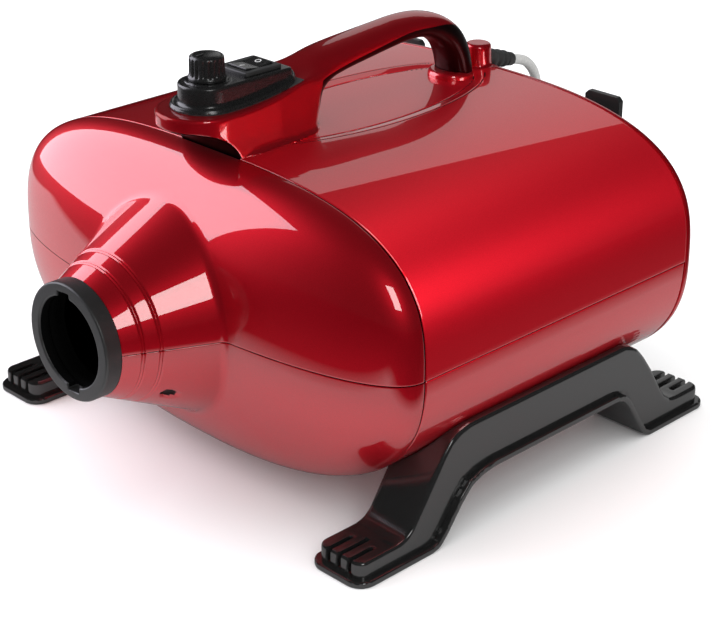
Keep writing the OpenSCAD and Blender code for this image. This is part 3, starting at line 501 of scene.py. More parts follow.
# ---- handle
# Stations of the grip's middle line: y, z, half thickness, half width
GRIP = np.array([[-75, 222.6, 9, 25], [-60, 223.8, 9, 24], [-44, 225.6, 9, 22.6],
                 [-30, 228.8, 9.2, 20.8], [-14, 233.6, 9.5, 18.4], [2, 237.4, 9.7, 16.3],
                 [20, 240.2, 9.5, 14.6], [40, 242.3, 9.1, 13.5], [58, 244.1, 8.6, 12.9],
                 [76, 245.5, 8.2, 12.7], [92, 244.6, 8.1, 12.9], [106, 240.2, 8.6, 13.3],
                 [117, 232.2, 9.1, 13.6], [123.6, 222, 9.4, 13.6], [126.6, 212, 9.5, 13.6],
                 [128, 203, 9.5, 13.4]])


def curve_through(points, per):
    """Smooth curve through points: Catmull-Rom pieces, per steps each."""
    p = np.concatenate([[2 * points[0] - points[1]], points, [2 * points[-1] - points[-2]]])
    out = []
    for k in range(1, len(p) - 2):
        u = np.linspace(0, 1, per, endpoint=False)[:, None]
        a, b, c, d = p[k - 1], p[k], p[k + 1], p[k + 2]
        out.append(0.5 * (2 * b + (c - a) * u + (2 * a - 5 * b + 4 * c - d) * u ** 2
                          + (3 * b - a - 3 * c + d) * u ** 3))
    return np.concatenate(out + [points[-1:]])


GRIP_LINE = curve_through(GRIP, 5)


def pod_top(y):
    """Height of the pod's rim along Y: level in front, then rising into the grip."""
    behind = np.maximum(0, (y - POD_RISE_Y) / -POD_RISE_Y)
    return POD_Z + POD_RISE * behind ** POD_RISE_POWER


def barrel_field(x, y, z):
    """Height above the barrel's top, recess included."""
    crown = TOP_H * np.maximum(0, 1 - (abs(x) / HALF_W) ** TOP_POWER) ** (1 / TOP_POWER)
    return z - PARTING_Z - crown + deck_depth(x, y)[0]


def grip_section(y, z):
    """Where a point lies along the grip: nearest gap to its line, half thickness, half width,
    side of the line (1 on the outer side, -1 under it) and share of the length."""
    shape = np.broadcast(y, z).shape
    best = np.full(shape, 1e9)
    found = [np.ones(shape) for _ in range(4)]
    for n, (p, q) in enumerate(zip(GRIP_LINE, GRIP_LINE[1:])):
        edge = q[:2] - p[:2]
        t = np.clip(((y - p[0]) * edge[0] + (z - p[1]) * edge[1]) / (edge @ edge), 0, 1)
        gap = np.hypot(y - p[0] - t * edge[0], z - p[1] - t * edge[1])
        closer = gap < best
        best = np.where(closer, gap, best)
        turn = edge[0] * (z - p[1]) - edge[1] * (y - p[0])
        values = (p[2] + t * (q[2] - p[2]), p[3] + t * (q[3] - p[3]), np.sign(turn),
                  (n + t) / (len(GRIP_LINE) - 1))
        found = [np.where(closer, new, old) for new, old in zip(values, found)]
    return (best, *found)


def grip_field(x, y, z):
    """Tube along the grip's line with a superelliptic section that changes along it."""
    gap, thick, wide, _, _ = grip_section(y, z)
    reach = (abs(x / wide) ** GRIP_POWER + (gap / thick) ** GRIP_POWER) ** (1 / GRIP_POWER)
    return (reach - 1) * np.minimum(thick, wide)


def pod_plan(x, y):
    """Plan of the pod: round in front, narrowing behind towards the grip."""
    front = two_circles(x, y, POD_Y, POD_R, -50, 24.6)
    return np.minimum(front, two_circles(x, y, -50, 24.6, 4, 16))


def pod_field(x, y, z):
    """Control pod: an upright block with a rounded plan and rim."""
    plan = pod_plan(x, y) - 1.2 * smooth_step(18, 0, z - SHELL_TOP) ** 2
    return blend_max(plan, z - pod_top(y), 2.2 + 13 * smooth_step(-24, 0, y))


def scoop_field(y, z):
    """Hollow under the pod's front rim, an elliptic barrel across it."""
    along, up = (y - POD_Y + POD_R - 1) / SCOOP_LONG, (z - SHELL_TOP + SCOOP_DROP) / SCOOP_HIGH
    return (np.sqrt(along ** 2 + up ** 2) - 1) * SCOOP_SCALE


def handle_solid(x, y, z):
    """Pod that turns into the grip behind it, hollowed in front."""
    back = 14 * smooth_step(238, 214, z)
    turn_in = smooth_step(-38 + back, 12 + back, y)
    body = (1 - turn_in) * pod_field(x, y, z) + turn_in * grip_field(x, y, z)
    return blend_max(body, -scoop_field(y, z), 1.6)


def handle_field(x, y, z):
    """The moulding's outside, with a fillet to the barrel round the pod's foot only."""
    ground = barrel_field(x, y, z) + 0.2
    solid = handle_solid(x, y, z)
    foot = 5 * smooth_step(-84, -66, y) * smooth_step(40, 20, y) + 0.01
    joined = np.maximum(blend_min(solid, ground, foot), -(ground + 1.5))
    reach = np.maximum(pod_plan(x, y) - 12, SEAM_Y + 0.6 - y)
    near_pod = np.maximum(np.where(ground > 0.02, joined, np.maximum(joined, 0.02)), reach)
    return np.minimum(np.maximum(solid, -(ground + 2.0)), near_pod)


def underside_and_hollow_shade(x, y, z):
    """1 on the grip's and leg's underside, partly its own darker colour and partly painted shade,
    and in the hollow in front, where it is painted shade; 0 on the red top.
    The limit lies low on the sides along the grip and climbs to the outer side down the leg."""
    gap, thick, _, side, along = grip_section(y, z)
    limit = -0.22 + 0.20 * smooth_step(0.40, 0.62, along) + 0.87 * smooth_step(0.64, 0.82, along)
    under = np.minimum(limit - side * gap / thick, (y + 7) / 6)
    # Painted shade in the hollow under the pod's front rim
    mouth = np.minimum((1.2 - abs(scoop_field(y, z))) / 2, (-y - 62) / 3)
    return np.clip(0.5 + 2.0 * np.maximum(under, mouth), 0, 1)


def make_handle():
    """The handle moulding, from its field, with its underside and the painted shade of its front
    hollow marked on its points.
    """
    points, faces = skin_of(handle_field, (-46, -120, 196), (46, 140, 262), 1.0)
    piece = add_piece("handle_moulding", points, faces, smooth=60.0)
    shade(piece, underside_and_hollow_shade(*points.T))
    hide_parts("handle_shell", "handle_underside")
    return piece


# ---- boss and socket behind
def seat_field(x, y, z):
    """Cord boss and the leg's socket, both standing on the barrel's skin."""
    ground = barrel_field(x, y, z) + 0.2
    up = z - SHELL_TOP
    boss = np.hypot(x, y - BOSS_Y) - BOSS_R + 0.045 * up
    boss = blend_max(boss, up - (BOSS_TOP - SHELL_TOP) - 3.0, 3.0)
    boss = blend_min(boss, ground, 2.5)
    skirt = np.hypot(x, y - SEAT_Y) - SEAT_R - 0.06 * (SOCKET_TOP - z)
    socket = blend_max(skirt, z - SOCKET_TOP, 3.5)
    pocket = (np.hypot(x / 14.0, (y - LEG_Y - 2.6) / 10.0) - 1) * 10
    socket = blend_max(socket, -np.maximum(pocket, 2.0 - up), 0.6)
    both = np.minimum(boss, socket)
    reach = np.minimum(np.hypot(x, y - BOSS_Y) - 13.5, np.hypot(x, y - SEAT_Y) - 20)
    reach = np.maximum(reach, y - BOSS_Y - 7.2)
    return np.maximum(np.maximum(both, -(ground + 1.2)), reach)


def boss_and_socket():
    """The raised places of the upper shell that its smooth skin leaves out."""
    skin = skin_of(seat_field, (-24, 100, 197), (24, 160, 222), 0.6)
    piece = add_piece("rear_boss_and_socket", *skin, smooth=50.0)
    return piece


# ---- controls
def rounded_box(u, v, half_u, half_v, r):
    """Distance to a rectangle with rounded corners, centred on the origin."""
    a, b = abs(u) - half_u + r, abs(v) - half_v + r
    outside = np.hypot(np.maximum(a, 0), np.maximum(b, 0))
    return outside + np.minimum(np.maximum(a, b), 0) - r


def block_plan(x, y):
    """Plan of the control block: round in front, square with soft corners behind."""
    front = np.hypot(x, y - BLOCK_Y) - BLOCK_R
    middle = 0.5 * (BLOCK_Y + BLOCK_END)
    rear = rounded_box(x, y - middle, BLOCK_R, BLOCK_END - middle, 2.5)
    return np.where(y < BLOCK_Y, front, np.where(y > middle, rear, abs(x) - BLOCK_R))


def panel_field(x, y, z):
    """Control panel: block on a bead flange that follows the pod's rim, with a fillet between,
    a collar under the knob and the opening for the rocker."""
    plan, rise, knob_r = block_plan(x, y), z - pod_top(y), np.hypot(x, y - KNOB_Y)
    block = blend_max(plan, z - BLOCK_Z, 1.6)
    rim = two_circles(x, y, BLOCK_Y, BLOCK_R + FLANGE_OUT, -42, 21.2)
    flange = blend_max(rim, rise - FLANGE_UP, 1.6)
    flange = np.minimum(flange, np.hypot(rim + 1.6, rise - FLANGE_UP) - BEAD_R)
    solid = blend_min(block, flange, 2.6)
    collar = blend_max(knob_r - COLLAR_R, z - BLOCK_Z - COLLAR_UP, 0.8)
    step = np.maximum(abs(knob_r - COLLAR_GROOVE) - 0.35, BLOCK_Z + 0.45 - z)
    solid = np.maximum(np.minimum(solid, collar), -step)
    opening = rounded_box(x, y - ROCKER_Y, 10.1, 12.1, 1)
    hollow = np.maximum(plan + 3, z - BLOCK_Z + 3.5)
    solid = np.maximum(solid, -np.minimum(np.minimum(opening, hollow), knob_r - SHAFT_HOLE))
    return np.maximum(solid, 0.6 - rise - 5 * smooth_step(-46, -30, y))


def control_panel():
    """The control panel's skin."""
    skin = skin_of(panel_field, (-22.5, -107, 230), (22.5, -16, 249), 0.6)
    return stand_in("control_panel", *skin)


FLUTES, FLUTE_DEEP, KNOB_STEPS = 18, 0.75, 360
# Knob's profile from its bore out and up to the middle of its top: radius, height, share of flute
KNOB_PROFILE = [(3.0, -13, 0), (3.0, -1, 0), (6.6, -1, 0), (6.6, 0.0, 0), (10.6, 0.0, 0),
                (11.2, 0.25, 0), (11.4, 0.8, 0), (11.4, 1.7, 0), (11.1, 2.2, 0), (10.8, 2.7, 0.4),
                (10.7, 3.4, 1), (10.6, 6, 1), (10.5, 9, 1), (10.4, 12.2, 1), (10.3, 12.9, 0.5),
                (10.1, 13.4, 0), (9.7, 13.9, 0), (9.1, 14.3, 0), (8.7, 14.2, 0), (8.3, 14.1, 0),
                (7.8, 14.35, 0), (5.6, 14.7, 0), (2.6, 14.92, 0), (0.8, 15, 0)]


def speed_knob():
    """Knob: its profile turned round, drawn in by flutes along the grip and domed on top."""
    turn = full_turn(KNOB_STEPS)
    base = BLOCK_Z + 1
    ridge = 0.5 + 0.5 * np.cos(FLUTES * turn)
    rows = []
    for r, h, flute in KNOB_PROFILE:
        radius = r - flute * FLUTE_DEEP * (1 - ridge ** 0.45)
        rows.append(points_at(radius * np.cos(turn), KNOB_Y + radius * np.sin(turn), base + h))
    ends = [[0, KNOB_Y, base + KNOB_PROFILE[n][1]] for n in (0, -1)]
    first = np.arange(KNOB_STEPS)
    last = (len(KNOB_PROFILE) - 1) * KNOB_STEPS + first
    foot, top = last[-1] + 1, last[-1] + 2
    faces = [*grid_faces(len(KNOB_PROFILE), KNOB_STEPS, wrap_cols=True),
             *[(a, b, foot) for a, b in zip(np.roll(first, -1), first)],
             *[(a, b, top) for a, b in zip(last, np.roll(last, -1))]]
    return stand_in("speed_knob", np.concatenate([*rows, ends]), faces, "knob")


def rocker_housing():
    """Rocker's frame: a bezel with rounded edges and a well for the key."""
    def field(x, y, z):
        v = y - ROCKER_Y
        bezel = blend_max(rounded_box(x, v, 12.8, 14, 1.6), z - BLOCK_Z - 2.4, 1.0)
        bezel = np.maximum(bezel, BLOCK_Z - z)
        body = np.maximum(rounded_box(x, v, 10, 12, 0.5), BLOCK_Z - 18 - z)
        body = np.maximum(body, z - BLOCK_Z - 1)
        well = np.maximum(rounded_box(x, v, 8.6, 10.8, 0.6), BLOCK_Z - 8 - z)
        return blend_max(np.minimum(bezel, body), -well, 0.5)
    low, high = (-14, ROCKER_Y - 15, BLOCK_Z - 19), (14, ROCKER_Y + 15, BLOCK_Z + 3)
    piece = add_piece("rocker_frame_skin", *skin_of(field, low, high, 0.5), smooth=40.0)
    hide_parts("rocker_housing")
    return piece


def key_top(y):
    """Height of the rocker key's two slopes, which fall to the middle."""
    return BLOCK_Z + 0.4 + 1.7 + 1.5 * abs(y - ROCKER_Y) / KEY_HALF_Y


def rocker_key():
    """Rocker's key: a shallow valley across, with soft edges and two raised marks."""
    def field(x, y, z):
        plan = np.maximum(abs(x) - KEY_HALF_X, abs(y - ROCKER_Y) - KEY_HALF_Y)
        return np.maximum(blend_max(plan, z - key_top(y), 0.7), BLOCK_Z - 2.1 - z)
    low, high = (-9, ROCKER_Y - 11, BLOCK_Z - 3), (9, ROCKER_Y + 11, BLOCK_Z + 4.6)
    return stand_in("rocker_key", *skin_of(field, low, high, 0.5), "rocker", 35.0)


def rocker_marks():
    """Printed marks on the key, as thin pads on its two slopes: a ring and a bar."""
    def pad(outer, inner, centre):
        rows = []
        for loop, lift in ((outer, 0.12), (inner, 0.12), (inner, -0.1), (outer, -0.1)):
            y = centre + loop[:, 1]
            rows.append(points_at(loop[:, 0], y, key_top(y) + lift))
        return np.concatenate(rows), grid_faces(4, len(outer), wrap_rows=True, wrap_cols=True)
    turn = full_turn(40)
    ring = np.stack([np.cos(turn), np.sin(turn)], -1)
    bar = np.array([[1, 1], [-1, 1], [-1, -1], [1, -1]])
    first = pad(2.0 * ring, 1.45 * ring, ROCKER_Y + 6.3)
    second = pad(bar * [0.35, 1.9], bar * [0.08, 1.6], ROCKER_Y - 6.3)
    faces = np.concatenate([first[1], second[1] + len(first[0])])
    piece = add_piece("rocker_marks", np.concatenate([first[0], second[0]]), faces, "rocker", 30.0)
    return piece


# ---- outlet ring
def outlet_ring():
    """Nozzle ring: a stepped tube with soft lips and two keyways in the bore."""
    def field(x, y, z):
        r = np.hypot(x, z - PARTING_Z)
        h = y - OUTLET_Y
        tube = blend_max(np.maximum(r - OUTLET_R, h - RING_LEN), -h, 1.4)
        spigot = np.maximum(r - OUTLET_R + WALL + 0.3, abs(h - RING_LEN - 4) - 5)
        mouth = BORE_R + lip(np.clip(h, 0, 9), BORE_LIP)
        bore = np.where(h < BORE_STEP, mouth, BORE_R + 2)
        solid = np.maximum(np.minimum(tube, spigot), bore - r)
        for turn in KEYWAY_TURNS:
            c, s = math.cos(math.radians(turn)), math.sin(math.radians(turn))
            u = x * c - (z - PARTING_Z) * s
            w = x * s + (z - PARTING_Z) * c
            key = np.maximum(rounded_box(u, w - BORE_R, 5.5, 3.0, 0.6), h - 6.5)
            solid = blend_max(solid, -key, 0.5)
        return solid
    low = (-OUTLET_R - 2, OUTLET_Y - 2, PARTING_Z - OUTLET_R - 2)
    high = (OUTLET_R + 2, OUTLET_Y + RING_LEN + 11, PARTING_Z + OUTLET_R + 2)
    return stand_in("outlet_ring", *skin_of(field, low, high, 0.7))


# ---- strain relief
def strain_relief():
    """Cord sleeve on its tilted axis: a profile with soft ribs turned round."""
    rows = [(4.1, 0), (4.1, 13.6), (4.6, 14.6), (5.2, 15.0)]
    for start, end, r in ((15.4, 19.2, 6.4), (21.8, 25.2, 6.2), (28.0, 31.0, 5.8)):
        rows += [(r - 0.9 * (abs(2 * u - 1) ** 4), start + u * (end - start))
                 for u in np.linspace(0, 1, 9)]
        rows += [(r - 1.5, end + 0.5), (r - 1.55, end + 1.7)]
    rows += [(4.9, 33.5), (4.75, 36), (4.6, 38.2), (4.3, 38.9), (3.7, 39.0), (3.7, 30), (3.7, 0)]
    profile = np.array(rows)
    turn = full_turn(64)[:, None]
    r, h = profile[:, 0], profile[:, 1] - 4
    a, b = r * np.cos(turn), r * np.sin(turn)
    c, s = math.cos(RELIEF_TILT), math.sin(RELIEF_TILT)
    points = points_at(a, BOSS_Y + h * c + b * s, RELIEF_Z - h * s + b * c)
    faces = grid_faces(64, len(profile), wrap_rows=True, wrap_cols=True)
    return stand_in("strain_relief", points, faces)


# ---- skids
# Corners (y, z) of the rail's upper edge and of the arch under it
SKID_TOP = [(-145, FOOT_H), (-96, FOOT_H), (-90, 16), (-85, 20), (-73, 38), (-60, 58), (-54, 65),
            (-47, 69), (-38, RAIL_H), (104, RAIL_H), (111, 68.5), (118, 64), (124, 57.5),
            (133, 45.5), (144, 28), (150, 20), (156, 15.5), (163, FOOT_H), (205, FOOT_H)]
SKID_ARCH = [(-145, 0), (-72, 0), (-66, 1.5), (-60, 7.5), (-48, 23), (-40, 31.5), (-30, 35.5),
             (-18, ARCH_H), (94, ARCH_H), (101, 35), (106, 30), (119, 10), (125, 2.5), (130, 0),
             (205, 0)]
# Slots in each toe: distance from its middle, length
TOE_SLOTS = ((-8.4, 22), (0, 26), (8.4, 22))


def smooth_line(points):
    """Height along Y of a broken line, its corners eased by averaging over 5 mm."""
    points = np.array(points, float)
    y = np.arange(-150, 206, 0.5)
    z = np.interp(y, points[:, 0], points[:, 1])
    window = np.hanning(13)[1:-1]
    padded = np.concatenate([np.full(5, z[0]), z, np.full(5, z[-1])])
    return y, np.convolve(padded, window / window.sum(), "valid")


TOP_LINE, ARCH_LINE = smooth_line(SKID_TOP), smooth_line(SKID_ARCH)


def above_line(line, y, z):
    """Distance above a line of heights along Y, measured square to the line."""
    height = np.interp(y, line[0], line[1])
    slope = np.interp(y, line[0], np.gradient(line[1], line[0]))
    return (z - height) / np.sqrt(1 + slope ** 2)


def skid_field(x, y, z):
    """Right skid: a body between its top and arch lines, on a wider bead flange with a groove
    above it, slotted at both toes and cut to the barrel."""
    middle_y = 0.5 * (SKID_FRONT + SKID_BACK)
    half_y = 0.5 * (SKID_BACK - SKID_FRONT)
    over, under = above_line(TOP_LINE, y, z), above_line(ARCH_LINE, y, z)
    body_plan = rounded_box(x - SKID_X, y - middle_y, 18, half_y - 4, 7)
    body = blend_max(body_plan, over, 2.6)
    groove = np.maximum(0, 1 - abs(under - 4.6) / 0.9)
    body = np.maximum(body + 1.1 * groove, -under)
    flange_plan = rounded_box(x - SKID_X, y - middle_y, 22, half_y, 11)
    flange = blend_max(flange_plan, abs(under - 2.0) - 2.0, 1.2)
    solid = np.minimum(body, flange)
    across, upright = abs(x) / (HALF_W + 0.1), abs(PARTING_Z - z) / (BOTTOM_H + 0.1)
    around = (across ** BOTTOM_POWER + upright ** BOTTOM_POWER) ** (1 / BOTTOM_POWER)
    barrel = np.maximum((around - 1) * 100, np.maximum(SEAM_Y - 50 - y, y - REAR_Y))
    solid = blend_max(solid, -barrel, 0.6)
    inward = np.minimum(y - SKID_FRONT, SKID_BACK - y)
    for aside, reach in TOE_SLOTS:
        slot = np.maximum(abs(x - SKID_X - aside) - 1.6, np.maximum(inward - reach - 1, 4.2 - z))
        solid = np.maximum(solid, -slot)
    return solid


def skids():
    """Both skids: the right one from its field, the left one mirrored from the same points."""
    points, faces = skin_of(skid_field, (130, -134, -2), (178, 195, 74), 1.2)
    points[:, 2] = np.maximum(points[:, 2], 0)
    return [stand_in(node, points * [side, 1, 1], faces)
            for side, node in ((1, "skid_right"), (-1, "skid_left"))]


# ---- mains cord
# The cord's route in stretches: back and down from the sleeve, along the floor, off the coil
ROUTE = [(0, 0), (8, -2), (14.5, -4.6), (19.5, -8.5), (24, -14), (27, -21), (28, -28.5), (28, -40),
         (28, -60), (28, -80), (28, -100), (28, -120), (28, -140), (28, -153)]
FLOOR_ROUTE = [(-43, 29), (-41.5, 20), (-37.5, 12), (-31, 5.6), (-23, 1.4), (-14, 0), (-7, 0),
               (0, 0)]
TAIL = [(0, 0), (-7, 0), (-14, -1), (-23, -4.2), (-32, -8.6), (-40, -11.5), (-46, -12.3),
        (-53, -12.3)]
SLEEVE_LEN = 35
COIL_Y, COIL_TURNS, COIL_LAYERS, COIL_OUT, COIL_PITCH = 263.0, 10.25, 4, 49.0, 7.6
COIL_STEPS, COIL_RISE = 24, 0.25


def cord_points():
    """Points of the whole cord: down behind the housing, along the floor, round the coil in four
    layers that spiral in and out, and down to the plug."""
    exit_y = BOSS_Y + SLEEVE_LEN * math.cos(RELIEF_TILT)
    exit_z = RELIEF_Z - SLEEVE_LEN * math.sin(RELIEF_TILT)
    r = CORD_D / 2
    lead = [(0, exit_y + a, exit_z + b) for a, b in ROUTE]
    floor = [(0, COIL_Y - CORD_D + a, r + b) for a, b in FLOOR_ROUTE]
    n = np.linspace(0, COIL_TURNS, int(COIL_TURNS * COIL_STEPS) + 1)
    layer = COIL_TURNS / COIL_LAYERS
    k = np.minimum(np.floor(n / layer), COIL_LAYERS - 1)
    f = n - k * layer
    radius = COIL_OUT - COIL_PITCH * np.where(k % 2 == 0, f, layer - f)
    climb = sum(smooth_step(m * layer - COIL_RISE, m * layer + COIL_RISE, n)
                for m in range(1, COIL_LAYERS))
    coil = points_at(-COIL_OUT + radius * np.cos(2 * np.pi * n),
                     COIL_Y + radius * np.sin(2 * np.pi * n), r + COIL_PITCH * climb)
    tail_at = coil[-1] + np.array([-CORD_D, 0, 0])
    tail = [tail_at + np.array([a, 0, b]) for a, b in TAIL]
    return np.array(lead), np.array(floor), coil, np.array(tail)


def make_cord():
    """The cord as one round curve along its route."""
    lead, floor, coil, tail = cord_points()
    free = curve_through(np.concatenate([lead, floor]), 3)
    end = curve_through(tail, 3)
    points = np.concatenate([free, coil, end])
    data = bpy.data.curves.new("mains_cord", "CURVE")
    data.dimensions = "3D"
    spline = data.splines.new("POLY")
    spline.points.add(len(points) - 1)
    spline.points.foreach_set("co", np.c_[points * MM, np.ones(len(points))].ravel())
    spline.points.foreach_set("radius", np.full(len(points), CORD_D / 2 * MM))
    data.bevel_depth = 1.0
    data.bevel_resolution = 4
    data.use_fill_caps = True
    cord = bpy.data.objects.new("mains_cord", data)
    bpy.context.collection.objects.link(cord)
    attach(cord, "housing")
    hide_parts("cord_lead", "cord_coil", "cord_tail")
    return cord


# ---- materials
def feed(tree, node, inputs):
    """Sets a node's inputs, by name or number, to values, colours or other nodes' outputs."""
    for name, value in inputs.items():
        if isinstance(value, bpy.types.NodeSocket):
            tree.links.new(value, node.inputs[name])
        else:
            node.inputs[name].default_value = (*value, 1) if isinstance(value, tuple) else value


def add_node(tree, kind, inputs=None, **settings):
    """A shader node of a kind, with its settings made first and its inputs fed after."""
    node = tree.nodes.new("ShaderNode" + kind)
    for name, value in settings.items():
        setattr(node, name, value)
    feed(tree, node, inputs or {})
    return node


def ramp(tree, value, low, high, a=0.0, b=1.0):
    """Value between low and high as another goes from a to b."""
    limits = {"From Min": a, "From Max": b, "To Min": low, "To Max": high}
    return add_node(tree, "MapRange", {"Value": value, **limits}).outputs["Result"]


def mix(tree, factor, first, second, kind="RGBA"):
    """Mix of two colours, or with kind "FLOAT" of two values, by a factor."""
    inputs = {"Factor": factor, "A": first, "B": second}
    return add_node(tree, "Mix", inputs, data_type=kind).outputs["Result"]


def bumped(tree, height, strength, distance):
    """Normal of a surface raised by a height times a distance in metres."""
    inputs = {"Height": height, "Strength": strength, "Distance": distance}
    return add_node(tree, "Bump", inputs).outputs["Normal"]


def make_grain():
    """Node group: fine noise on Object coordinates, its middle third spread over 0 to 1."""
    group = bpy.data.node_groups.new("grain", "ShaderNodeTree")
    for name, way in (("Scale", "INPUT"), ("Value", "OUTPUT")):
        group.interface.new_socket(name, in_out=way, socket_type="NodeSocketFloat")
    start = group.nodes.new("NodeGroupInput")
    end = group.nodes.new("NodeGroupOutput")
    coords = add_node(group, "TexCoord")
    spots = add_node(group, "TexNoise", {
        "Vector": coords.outputs["Object"], "Scale": start.outputs["Scale"],
        "Detail": 3.0, "Roughness": 0.6})
    feed(group, end, {"Value": ramp(group, spots.outputs["Fac"], 0.0, 1.0, 0.35, 0.65)})
    return group


GRAIN = make_grain()


def grain(tree, scale):
    """The grain group at a scale in a material's tree."""
    return add_node(tree, "Group", {"Scale": scale}, node_tree=GRAIN).outputs["Value"]


def new_material(name):
    """A node material, its tree and its Principled shader."""
    material = bpy.data.materials.new(name)
    material.use_nodes = True
    tree = material.node_tree
    return material, tree, tree.nodes["Principled BSDF"]


def red_paint():
    """Metallic red under a clear coat: fine flakes vary the base and its roughness. Where the
    points are marked the paint goes over to a near-black red at a crisp edge and loses most of its
    coat: painted shade in gaps and hollows, and on the grip's underside partly its own darker
    colour."""
    material, tree, shader = new_material("red_paint")
    flakes = mix(tree, grain(tree, 2600), (0.70, 0.004, 0.016), (0.84, 0.007, 0.024))
    mark = add_node(tree, "Attribute", attribute_name="shade")
    # Painted shade: marked points turn near-black red and lose most of the coat
    dark = ramp(tree, mark.outputs["Fac"], 0, 1, 0.46, 0.54)
    feed(tree, shader, {
        "Base Color": mix(tree, dark, flakes, (0.018, 0.0003, 0.0015)),
        "Metallic": 0.85,
        "Roughness": ramp(tree, grain(tree, 900), 0.42, 0.47),
        "Coat Weight": ramp(tree, dark, 1.0, 0.08),
        "Coat Roughness": 0.02,
        "Coat IOR": 2.1})
    return material


def plastic(name, grey, rough, scale, depth, ior=1.9):
    """Moulded plastic with a fine grain of its own scale and depth; no bump at depth 0."""
    material, tree, shader = new_material(name)
    spots = grain(tree, scale)
    feed(tree, shader, {
        "Base Color": mix(tree, spots, (grey * 0.8,) * 3, (grey * 1.25,) * 3),
        "Roughness": ramp(tree, spots, rough * 0.9, rough * 1.15),
        "IOR": ior})
    if depth:
        feed(tree, shader, {"Normal": bumped(tree, spots, 0.25, depth)})
    return material


def metal(name, colour, rough):
    """Plain metal with slight mottling."""
    material, tree, shader = new_material(name)
    spots = grain(tree, 500)
    feed(tree, shader, {
        "Base Color": mix(tree, spots, tuple(0.9 * c for c in colour), colour),
        "Metallic": 1.0,
        "Roughness": ramp(tree, spots, rough * 0.85, rough * 1.2)})
    return material


def soft_material(name, scale, dark, light, rough, strength, distance):
    """Matt material between two tones with a bump: the cord's jacket and the foam."""
    material, tree, shader = new_material(name)
    spots = grain(tree, scale)
    feed(tree, shader, {
        "Base Color": mix(tree, spots, dark, light),
        "Roughness": rough,
        "Normal": bumped(tree, spots, strength, distance)})
    return material


def dress(piece, material):
    """Gives a piece one material."""
    piece.data.materials.clear()
    piece.data.materials.append(material)


def dress_bore(ring, material):
    """Gives the ring's bore a second material: near-black and matt, painted shade."""
    ring.data.materials.append(material)
    centres = np.empty(len(ring.data.polygons) * 3)
    ring.data.polygons.foreach_get("center", centres)
    x, y, z = centres.reshape(-1, 3).T / MM
    inside = (np.hypot(x, z - PARTING_Z) < BORE_R + 2.4) & (y > OUTLET_Y + 1.1)
    ring.data.polygons.foreach_set("material_index", inside.astype(np.int32))


# ---- floor, light, background
def white_floor():
    """White floor: the camera sees it bright; for the housing's reflections it carries a painted
    pool of light round the housing, between two x and behind a y, with soft edges, and is dark
    beyond."""
    bpy.ops.mesh.primitive_plane_add(size=FLOOR_SIZE, location=(0, 0, 0))
    floor = bpy.context.object
    floor.name = "floor"
    material, tree, shader = new_material("floor_white")
    ray = add_node(tree, "LightPath").outputs["Is Glossy Ray"]
    coords = add_node(tree, "TexCoord").outputs["Object"]
    along = add_node(tree, "SeparateXYZ", {"Vector": coords})
    # Painted pool of light: seen in reflections, the floor is bright only inside these edges
    sides = [ramp(tree, along.outputs[axis], 0, 1, edge - way * FLOOR_SOFT, edge + way * FLOOR_SOFT)
             for axis, edge, way in FLOOR_PAINTED_POOL]
    lit = sides[0]
    for factor in (*sides[1:], FLOOR_REFLECTED):
        lit = add_node(tree, "Math", {0: lit, 1: factor}, operation="MULTIPLY").outputs["Value"]
    grey = mix(tree, ray, FLOOR_SEEN, lit, "FLOAT")
    tone = add_node(tree, "CombineColor", dict.fromkeys(("Red", "Green", "Blue"), grey))
    feed(tree, shader, {
        "Base Color": tone.outputs["Color"], "Roughness": 0.8, "Specular IOR Level": 0.0})
    dress(floor, material)
    return floor


def white_background():
    """World that the camera sees white, that fills shadows and that the paint sees nearly dark."""
    world = bpy.data.worlds.new("studio")
    bpy.context.scene.world = world
    world.use_nodes = True
    tree = world.node_tree
    rays = add_node(tree, "LightPath")
    unseen = mix(tree, rays.outputs["Is Glossy Ray"], WORLD_FILL, WORLD_REFLECTED, "FLOAT")
    feed(tree, tree.nodes["Background"], {
        "Color": (1.0, 1.0, 1.0),
        "Strength": mix(tree, rays.outputs["Is Camera Ray"], unseen, 1.0, "FLOAT")})


def panel(name, azimuth, height, distance, half_wide, half_high, radiance):
    """Softbox seen from the housing's middle at an azimuth (0 in front, 90 at the right) and a
    height in degrees, with its half extents in degrees, at a distance in metres."""
    a, h = math.radians(azimuth), math.radians(height)
    towards = Vector((math.sin(a) * math.cos(h), -math.cos(a) * math.cos(h), math.sin(h)))
    data = bpy.data.lights.new(name, "AREA")
    data.shape = "RECTANGLE"
    data.size = 2 * distance * math.tan(math.radians(half_wide))
    data.size_y = 2 * distance * math.tan(math.radians(half_high))
    data.energy = radiance * math.pi * data.size * data.size_y
    lamp = bpy.data.objects.new(name, data)
    lamp.location = Vector(LAMPS_AIM) + towards * distance
    lamp.rotation_euler = (-towards).to_track_quat("-Z", "Y").to_euler()
    lamp.visible_camera = False
    bpy.context.collection.objects.link(lamp)
    return lamp


def only_on(lamp, pieces, left_out=False):
    """Lets a lamp light only some pieces, or all but them."""
    group = bpy.data.collections.new(lamp.name + "_on")
    for piece in pieces:
        group.objects.link(piece)
    lamp.light_linking.receiver_collection = group
    if left_out:
        for link in group.collection_objects:
            link.light_linking.link_state = "EXCLUDE"


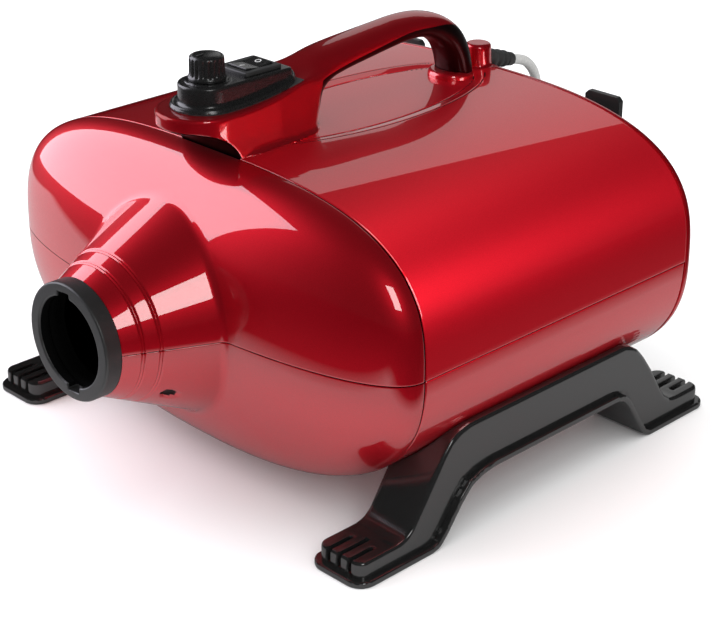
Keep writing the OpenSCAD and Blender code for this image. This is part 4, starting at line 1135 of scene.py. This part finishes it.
def studio():
    """Floor with a fill of its own, background, the large window panel at the left and its weaker
    twin for the handle, the softbox at the right, the pale backdrop behind, and two panels that
    give the barrel its long lit band."""
    floor = white_floor()
    white_background()
    only_on(panel("floor_fill", 0, 85, 2.5, 32, 32, 0.8), [floor])
    window = panel("window_panel", -64, 23.5, 1.5, 26, 27.5, 2.35)
    window.data.color = (1.0, 0.98, 1.1)
    only_on(window, [*SKIDS, HANDLE], True)
    only_on(panel("handle_panel", -64, 22, 1.5, 26, 26, 0.9), [HANDLE])
    panel("side_softbox", 65, 31, 1.3, 7, 12, 3.8)
    panel("back_panel", -148, 20, 1.6, 17, 18, 0.5)
    only_on(panel("barrel_panel", 106, 28, 1.3, 10, 20, 7.2), BARREL)
    only_on(panel("barrel_overhead", 150, 68, 1.5, 26, 8, 3.0), BARREL)
    bpy.context.scene.view_settings.view_transform = "Standard"


# ---- making
make_camera()
cord = make_cord()

RED = red_paint()
BLACK = plastic("black_moulding", 0.016, 0.42, 1500, 0.00012)
SATIN = plastic("black_satin", 0.020, 0.5, 2200, 0.00008)
GLOSS = plastic("black_gloss", 0.010, 0.26, 2600, 0.0)
RUBBER = plastic("black_rubber", 0.03, 0.7, 1800, 0.0001)
STEEL = metal("zinc_steel", (0.62, 0.62, 0.63), 0.35)
ALUMINIUM = metal("aluminium", (0.80, 0.81, 0.82), 0.3)
COPPER = metal("copper", (0.75, 0.35, 0.18), 0.35)
BRASS = metal("brass", (0.80, 0.62, 0.28), 0.3)
JACKET = soft_material("cable_jacket", 700, (0.56, 0.56, 0.55), (0.66, 0.66, 0.64),
                       0.42, 0.2, 0.0001)
WHITE = plastic("white_mark", 0.75, 0.5, 1200, 0.00002)
SKID = plastic("skid_moulding", 0.014, 0.15, 1300, 0.00002)
FOAM = soft_material("foam", 1400, (0.01, 0.01, 0.011), (0.08, 0.08, 0.085), 0.95, 0.9, 0.0006)
# Painted shade: a near-black matt material for the bore and the seal, where shade falls inside the
# ring
DUCT_SHADE = plastic("duct_painted_shade", 0.002, 0.8, 1500, 0.0, 1.2)

dress(cord, JACKET)
BARREL = [barrel_half("upper_shell", True), barrel_half("lower_shell", False)]
CAPS = [front_cap("front_cap_upper", True), front_cap("front_cap_lower", False)]
for skin in (*BARREL, *CAPS, rear_bezel(), boss_and_socket()):
    dress(skin, RED)
HANDLE = make_handle()
dress(HANDLE, RED)
for skin in (control_panel(), speed_knob(), rocker_key()):
    dress(skin, GLOSS)
dress(rocker_housing(), SATIN)
dress(rocker_marks(), WHITE)
ring = outlet_ring()
dress(ring, BLACK)
dress_bore(ring, DUCT_SHADE)
dress(strain_relief(), RUBBER)
SKIDS = skids()
for skin in SKIDS:
    dress(skin, SKID)

SLOT_MATERIALS = {
    "red_shell": RED, "dark_red_grip": RED, "black_plastic": BLACK, "black_satin": SATIN,
    "black_rubber": RUBBER, "grey_cable": JACKET, "ivory_plastic": JACKET, "white_mark": SATIN,
    "circuit_board": SATIN, "steel": STEEL, "aluminium": ALUMINIUM, "copper_windings": COPPER,
    "brass": BRASS, "foam": FOAM}
for part in frame["record"]["subparts"]:
    node = part["node"]
    # The seal in the bore gets the painted shade material too
    finish = DUCT_SHADE if node == "outlet_seal" else SLOT_MATERIALS[part["material_slot"]]
    for slot in frame["nodes"][node].material_slots:
        slot.material = finish

studio()
